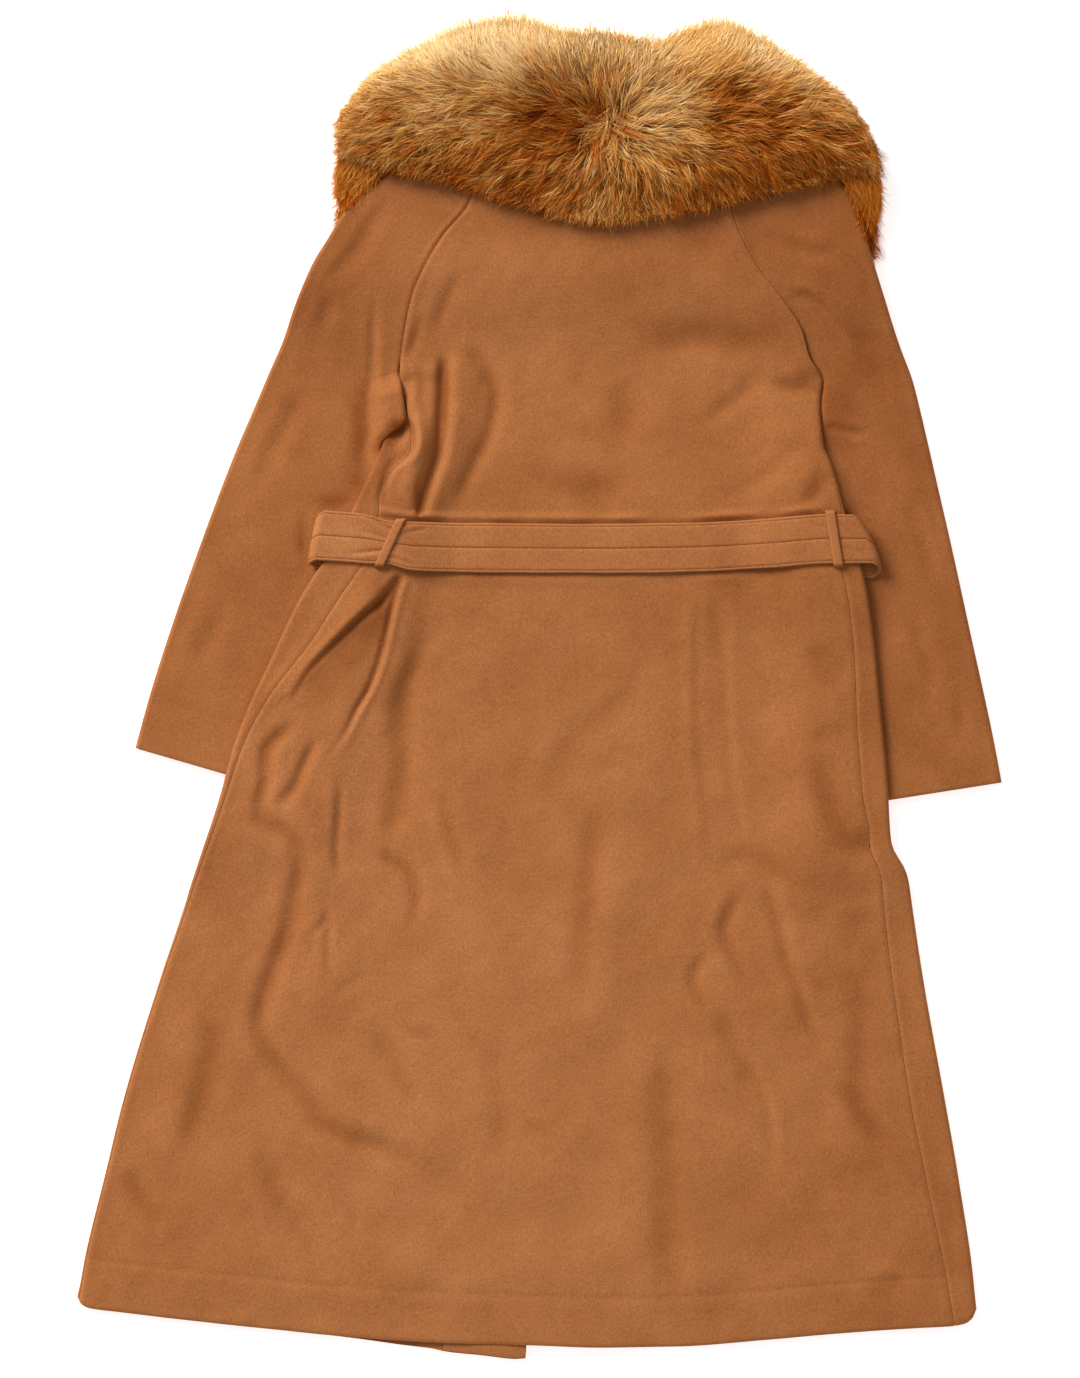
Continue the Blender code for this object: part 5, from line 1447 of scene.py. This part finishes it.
def build_crown(chance):
    """Long hair over the back's side of the collar, in locks that draw to a point."""
    x, y = np.meshgrid(np.arange(-196, 328, TUFT_STEP), np.arange(440, 650, TUFT_STEP))
    x = (x + chance.uniform(-0.6, 0.6, x.shape) * TUFT_STEP).ravel().clip(-186, 317)
    y = (y + chance.uniform(-0.6, 0.6, y.shape) * TUFT_STEP).ravel()
    top, over, _, _ = collar_at(x)
    keep = (y > over + 5) & (y < top - 9)
    x, y = x[keep], y[keep]
    tufts = len(x)
    dx, dy, tone = combed(x, y)
    soft = ease(y - 14 * bell(x, 60, 50), 560, 596)
    whorl = bell(x, 67, 17) * bell(y, 536, 17)
    wander = undulation(x, y, 31, [(40, 1), (15, 0.7)])
    turn = np.arctan2(dy, dx) + wander * (0.26 - 0.18 * soft) + 0.6 * whorl
    turn = turn + chance.normal(0, 0.12, tufts) * (1 - 0.6 * soft)
    over_part = chance.uniform(0, 1, tufts) < 0.75 * whorl
    turn = np.where(over_part, np.radians(chance.normal(278, 34, tufts)), turn)
    long = chance.normal(35, 6, tufts).clip(18, 48) + 9 * soft - 6 * whorl
    low = spots(x, y, PARTS)
    bank = undulation(x, y, 37, [(26, 0.22), (11, 0.22)]) * (1 - 0.7 * soft)
    level = (1 - chance.uniform(0, 0.6, tufts) * (1 - 0.65 * soft) + bank) * (1 - low)
    # Painted shade: hair is darker in the partings and where its bank lies low, paler where it
    # stands high
    tone = (tone + chance.normal(0, 0.06, tufts) - 0.22 * low + 0.35 * bank * (1 - soft)
            + 0.13 * soft)
    pick = np.repeat(np.arange(tufts), TUFT_HAIRS)
    count = len(pick)
    x, y, soft, whorl = x[pick], y[pick], soft[pick], whorl[pick]
    spread = chance.normal(0, 2.5, (count, 2))
    root_x, root_y = x + spread[:, 0], y + spread[:, 1]
    turn = turn[pick] + chance.normal(0, 0.07, count)
    slack = chance.normal(-3, 4.5, count) * (1 + 0.9 * soft)
    long = np.minimum(long[pick] * chance.uniform(0.70, 1.12, count),
                      hair_room(root_x, root_y, turn, slack))
    bend = chance.normal(0, 0.15, tufts)[pick] * (1 - 0.6 * soft)
    bend = bend + chance.normal(0, 0.08, count)
    level = np.clip(level[pick] + 0.15 * whorl + chance.normal(0, 0.08, count), 0.1, 1.1)

    def height(x, y, t):
        skin, full = fur_height(x, y, SKIN_SHARE), fur_height(x, y, 1, 0.05)
        top, over, _, _ = collar_at(x)
        beyond = np.maximum(np.maximum(y - top, over - y), 0)
        z = skin - 1.5 + (full - skin + 3) * level * (1 - (1 - t) ** 2.2) - 0.5 * beyond
        return np.maximum(z, floor_under(x, y) + 0.8 * t)

    line = hair_lines(x, y, turn, bend, long, height, spread,
                      [close + 0.3 * soft for close in (1, 0.84, 0.58, 0.36)])
    tone = tone[pick] + chance.normal(0, 0.09, count) * (1 - 0.6 * soft)
    grey = chance.uniform(0, 1, count) < spots(root_x, root_y, GREY)
    tone = np.where(grey, 1, np.minimum(tone, 0.88))
    dark = chance.uniform(0, 1, count) < 0.14 - 0.13 * soft
    tone = np.where(dark, tone * 0.35, tone)
    width = chance.uniform(0.36, 0.62, count) * (1 + 0.6 * soft)
    # Hairs of the soft top and of the whorl start past the painted root shade
    root = 0.5 * soft + 0.4 * whorl + 0.1
    for name, start, stop in (("left", -math.inf, -20), ("middle", -20, 150),
                              ("right", 150, math.inf)):
        part = (root_x >= start) & (root_x < stop)
        hair_mesh("crown_hair_" + name, line[part], UP, width[part], tone[part], chance,
                  root[part])


def build_edge_hair(chance):
    """Hair round the collar's outer fold, which stands out from it."""
    x = np.linspace(-183, 315, 120)
    top = collar_at(x, SKIN_INSET)[0]
    line = np.stack([np.concatenate([np.full(8, -184), x, np.full(8, 316)]), np.concatenate([
        np.linspace(476, top[0], 8), top, np.linspace(top[-1], 448, 8)])], -1)
    way = way_along(line)
    count = EDGE_HAIRS
    at = chance.uniform(0, way[-1], count)
    before, here, after = (np.stack([np.interp(place, way, part) for part in line.T])
                           for place in (at - 12, at, at + 12))
    x, y = here
    ahead = after - before
    ahead_x, ahead_y = ahead / np.linalg.norm(ahead, axis=0)
    high = chance.uniform(1.5, 43, count) * np.where(chance.uniform(0, 1, count) < 0.7, 1, 0.7)
    high = high * (1 - 0.5 * ease(y, 548, 512))
    inward = 2 + 0.55 * np.maximum(high - 26, 0)
    dx, dy, tone = combed(x, y)
    tuft = chance.integers(0, EDGE_TUFTS, count)
    tuft_bias = chance.normal(0, 0.22, EDGE_TUFTS)[tuft]
    turn = np.arctan2(ahead_x * 0.6 + dy * 0.9, -ahead_y * 0.6 + dx * 0.9)
    turn = turn + 0.35 * np.sin(at / 9 + high * 0.3) + tuft_bias * 0.5
    slack = chance.normal(-2, 4.5, count)
    long = np.minimum(chance.uniform(10, 28, count), hair_room(x, y, turn, slack, "under"))
    level = chance.uniform(-0.25, 0.55, count)
    bend = chance.normal(0, 0.2, count)
    line = hair_lines(x + ahead_y * inward, y - ahead_x * inward, turn, bend / 2, long,
                      lambda _x, _y, t: np.clip(high + level * long * t * 0.5, 0.5,
                                                FUR_SLOT_TOP + 21))
    outside = np.stack([-ahead_y, ahead_x, np.full(count, 0.9)], -1)[:, None]
    tone = np.minimum(tone + 0.04, 0.80) + chance.normal(0, 0.05, count)
    # Hairs near the outline and hairs that stand high start past the painted root shade
    root = 0.1 + 0.35 * ease(y, 572, 600) + 0.4 * ease(high, 16, 30)
    hair_mesh("edge_hair", line, outside, chance.uniform(0.4, 0.7, count), tone, chance, root)


def build_under_hair(chance):
    """Hair of the layer under the fronts, which shows beside both shoulders."""
    count = UNDER_HAIRS
    x = chance.uniform(-186, 317, count)
    ends = chance.uniform(0, 1, count) < 0.7
    x = np.where(ends & (x < 60), chance.uniform(-186, -120, count), x)
    x = np.where(ends & (x >= 60), chance.uniform(255, 317, count), x)
    _, over, under, _ = collar_at(x)
    low, high = under + 5, np.maximum(over + 10, under + 8)
    y = low + (high - low) * chance.uniform(0, 1, count) ** 1.3
    keep = (y >= shoulder_line(x) - 4) | (y < under + 16)
    x, y = x[keep], y[keep]
    count = len(x)
    middle = ease(np.abs(x - 60), 90, 160)
    turn = np.radians(270 + (np.where(x < 60, 243, 290) - 270) * middle)
    turn = turn + chance.normal(0, 0.2, count)
    long = chance.uniform(16, 30, count)
    level = chance.uniform(0.2, 1, count)

    def height(x, y, t):
        ceiling = np.where(y < shoulder_line(x) + 3, collar_lift(y) - 0.8, 26)
        z = 9 + 12 * level * (1 - (1 - t) ** 2) - 9 * t * t
        return np.clip(z, 0.5, np.maximum(ceiling, 0.6))

    line = hair_lines(x, y, turn, chance.normal(0, 0.2, count) / 2, long, height)
    hair_mesh("under_hair", line, UP, chance.uniform(0.5, 0.9, count),
              combed(x, y)[2] + chance.normal(0, 0.06, count), chance)


def build_end_hair(chance):
    """Hair at the collar's two ends, which hangs from the fold beside the shoulders."""
    lines, tones = [], []
    for side, count, start, stop, degrees, tone in ((-1, 1500, -188, -128, 234, 0.45),
                                                    (1, 1700, 262, 321, 288, 0.44)):
        x = chance.uniform(start, stop, count)
        _, over, under, _ = collar_at(x)
        y = over + 10 - (over + 6 - under) * chance.uniform(0, 1, count)
        beside = (x - shoulder_edge(y, side)) * side
        keep = (beside > np.where(y > over + 2, -20, 2)) & (y > under + 3)
        x, y, over, under, beside = (part[keep] for part in (x, y, over, under, beside))
        turn = math.radians(degrees) + chance.normal(0, 0.18, len(x))
        share = np.clip((over + 10 - y) / np.maximum(over - under, 6), 0, 1)
        # Painted shade: hair is darker the deeper it lies under the collar and the nearer it is to
        # the shoulder's edge
        tone = tone - 0.08 * share - 0.12 * np.exp(-np.maximum(beside, 0) / 8)
        x, y, turn, share, tone = (np.repeat(part, END_TUFT_HAIRS)
                                   for part in (x, y, turn, share, tone))
        count = len(x)
        spread = chance.normal(0, 2, (count, 2))
        turn = turn + chance.normal(0, 0.1, count)
        slack = chance.normal(-2, 4, count)
        long = np.minimum(chance.uniform(18, 34, count),
                          hair_room(x, y, turn, slack, "under", side))
        level = chance.uniform(-0.2, 1, count)

        def height(x, y, t):
            return np.maximum(31 - 19 * share + 7 * level * t - 9 * t * t,
                              floor_under(x, y) + 0.8)

        lines.append(hair_lines(x, y, turn, chance.normal(0, 0.2, count), long, height,
                                spread, (1, 0.7, 0.4, 0.2)))
        tones.append(tone + chance.normal(0, 0.05, count))
    line, tone = np.concatenate(lines), np.concatenate(tones)
    hair_mesh("end_hair", line, UP, chance.uniform(0.5, 0.9, len(line)), tone, chance)


# Stage

# Sizes in metres: the camera sees a frame this tall from this far above it
FRAME_TALL = 1.3229
CAMERA_AWAY = 6
SENSOR = 36


def build_stage():
    """Camera straight above the coat, soft light from the upper left, pale floor."""
    scene = bpy.context.scene
    data = bpy.data.cameras.new("camera")
    data.sensor_width = SENSOR
    data.lens = SENSOR * CAMERA_AWAY / FRAME_TALL
    camera = bpy.data.objects.new("camera", data)
    camera.location = (0, 0.0029, CAMERA_AWAY + 0.012)
    scene.collection.objects.link(camera)
    scene.camera = camera

    bpy.ops.mesh.primitive_plane_add(size=14, location=(0, 0, 0))
    floor = bpy.context.active_object
    floor.name = "floor"
    floor.data.materials.append(matt_paper())
    floor.select_set(False)

    for name, place, size, power in (("key_light", (-4.6, 5.2, 4.4), 3.8, 800),
                                     ("fill_light", (1.5, -1, 4.6), 4, 12)):
        lamp = bpy.data.lights.new(name, "AREA")
        lamp.shape = "SQUARE"
        lamp.size = size
        lamp.energy = power
        item = bpy.data.objects.new(name, lamp)
        item.location = place
        x, y, z = place / np.linalg.norm(place)
        item.rotation_euler = (math.acos(z), 0, math.atan2(y, x) + math.pi / 2)
        scene.collection.objects.link(item)

    world = bpy.data.worlds.new("studio")
    world.use_nodes = True
    light = world.node_tree.nodes["Background"]
    light.inputs["Color"].default_value = (1, 0.965, 0.93, 1)
    light.inputs["Strength"].default_value = 0.36
    scene.world = world
    scene.view_settings.view_transform = "Standard"


build_stage()
build_front(-1, "left_front_panel", "left_front")
build_front(1, "right_front_panel", "right_front")
build_back()
build_facing()
for side, word in WORD.items():
    build_sleeve(side, True, word + "_sleeve_top", word + "_sleeve_back")
    build_sleeve(side, False, word + "_sleeve_under", word + "_sleeve_front")
build_belt()
build_loop("left_loop", "belt_loop_left")
build_loop("right_loop", "belt_loop_right")
build_pelt()
build_crown(np.random.default_rng(5))
build_edge_hair(np.random.default_rng(6))
build_under_hair(np.random.default_rng(7))
build_end_hair(np.random.default_rng(8))
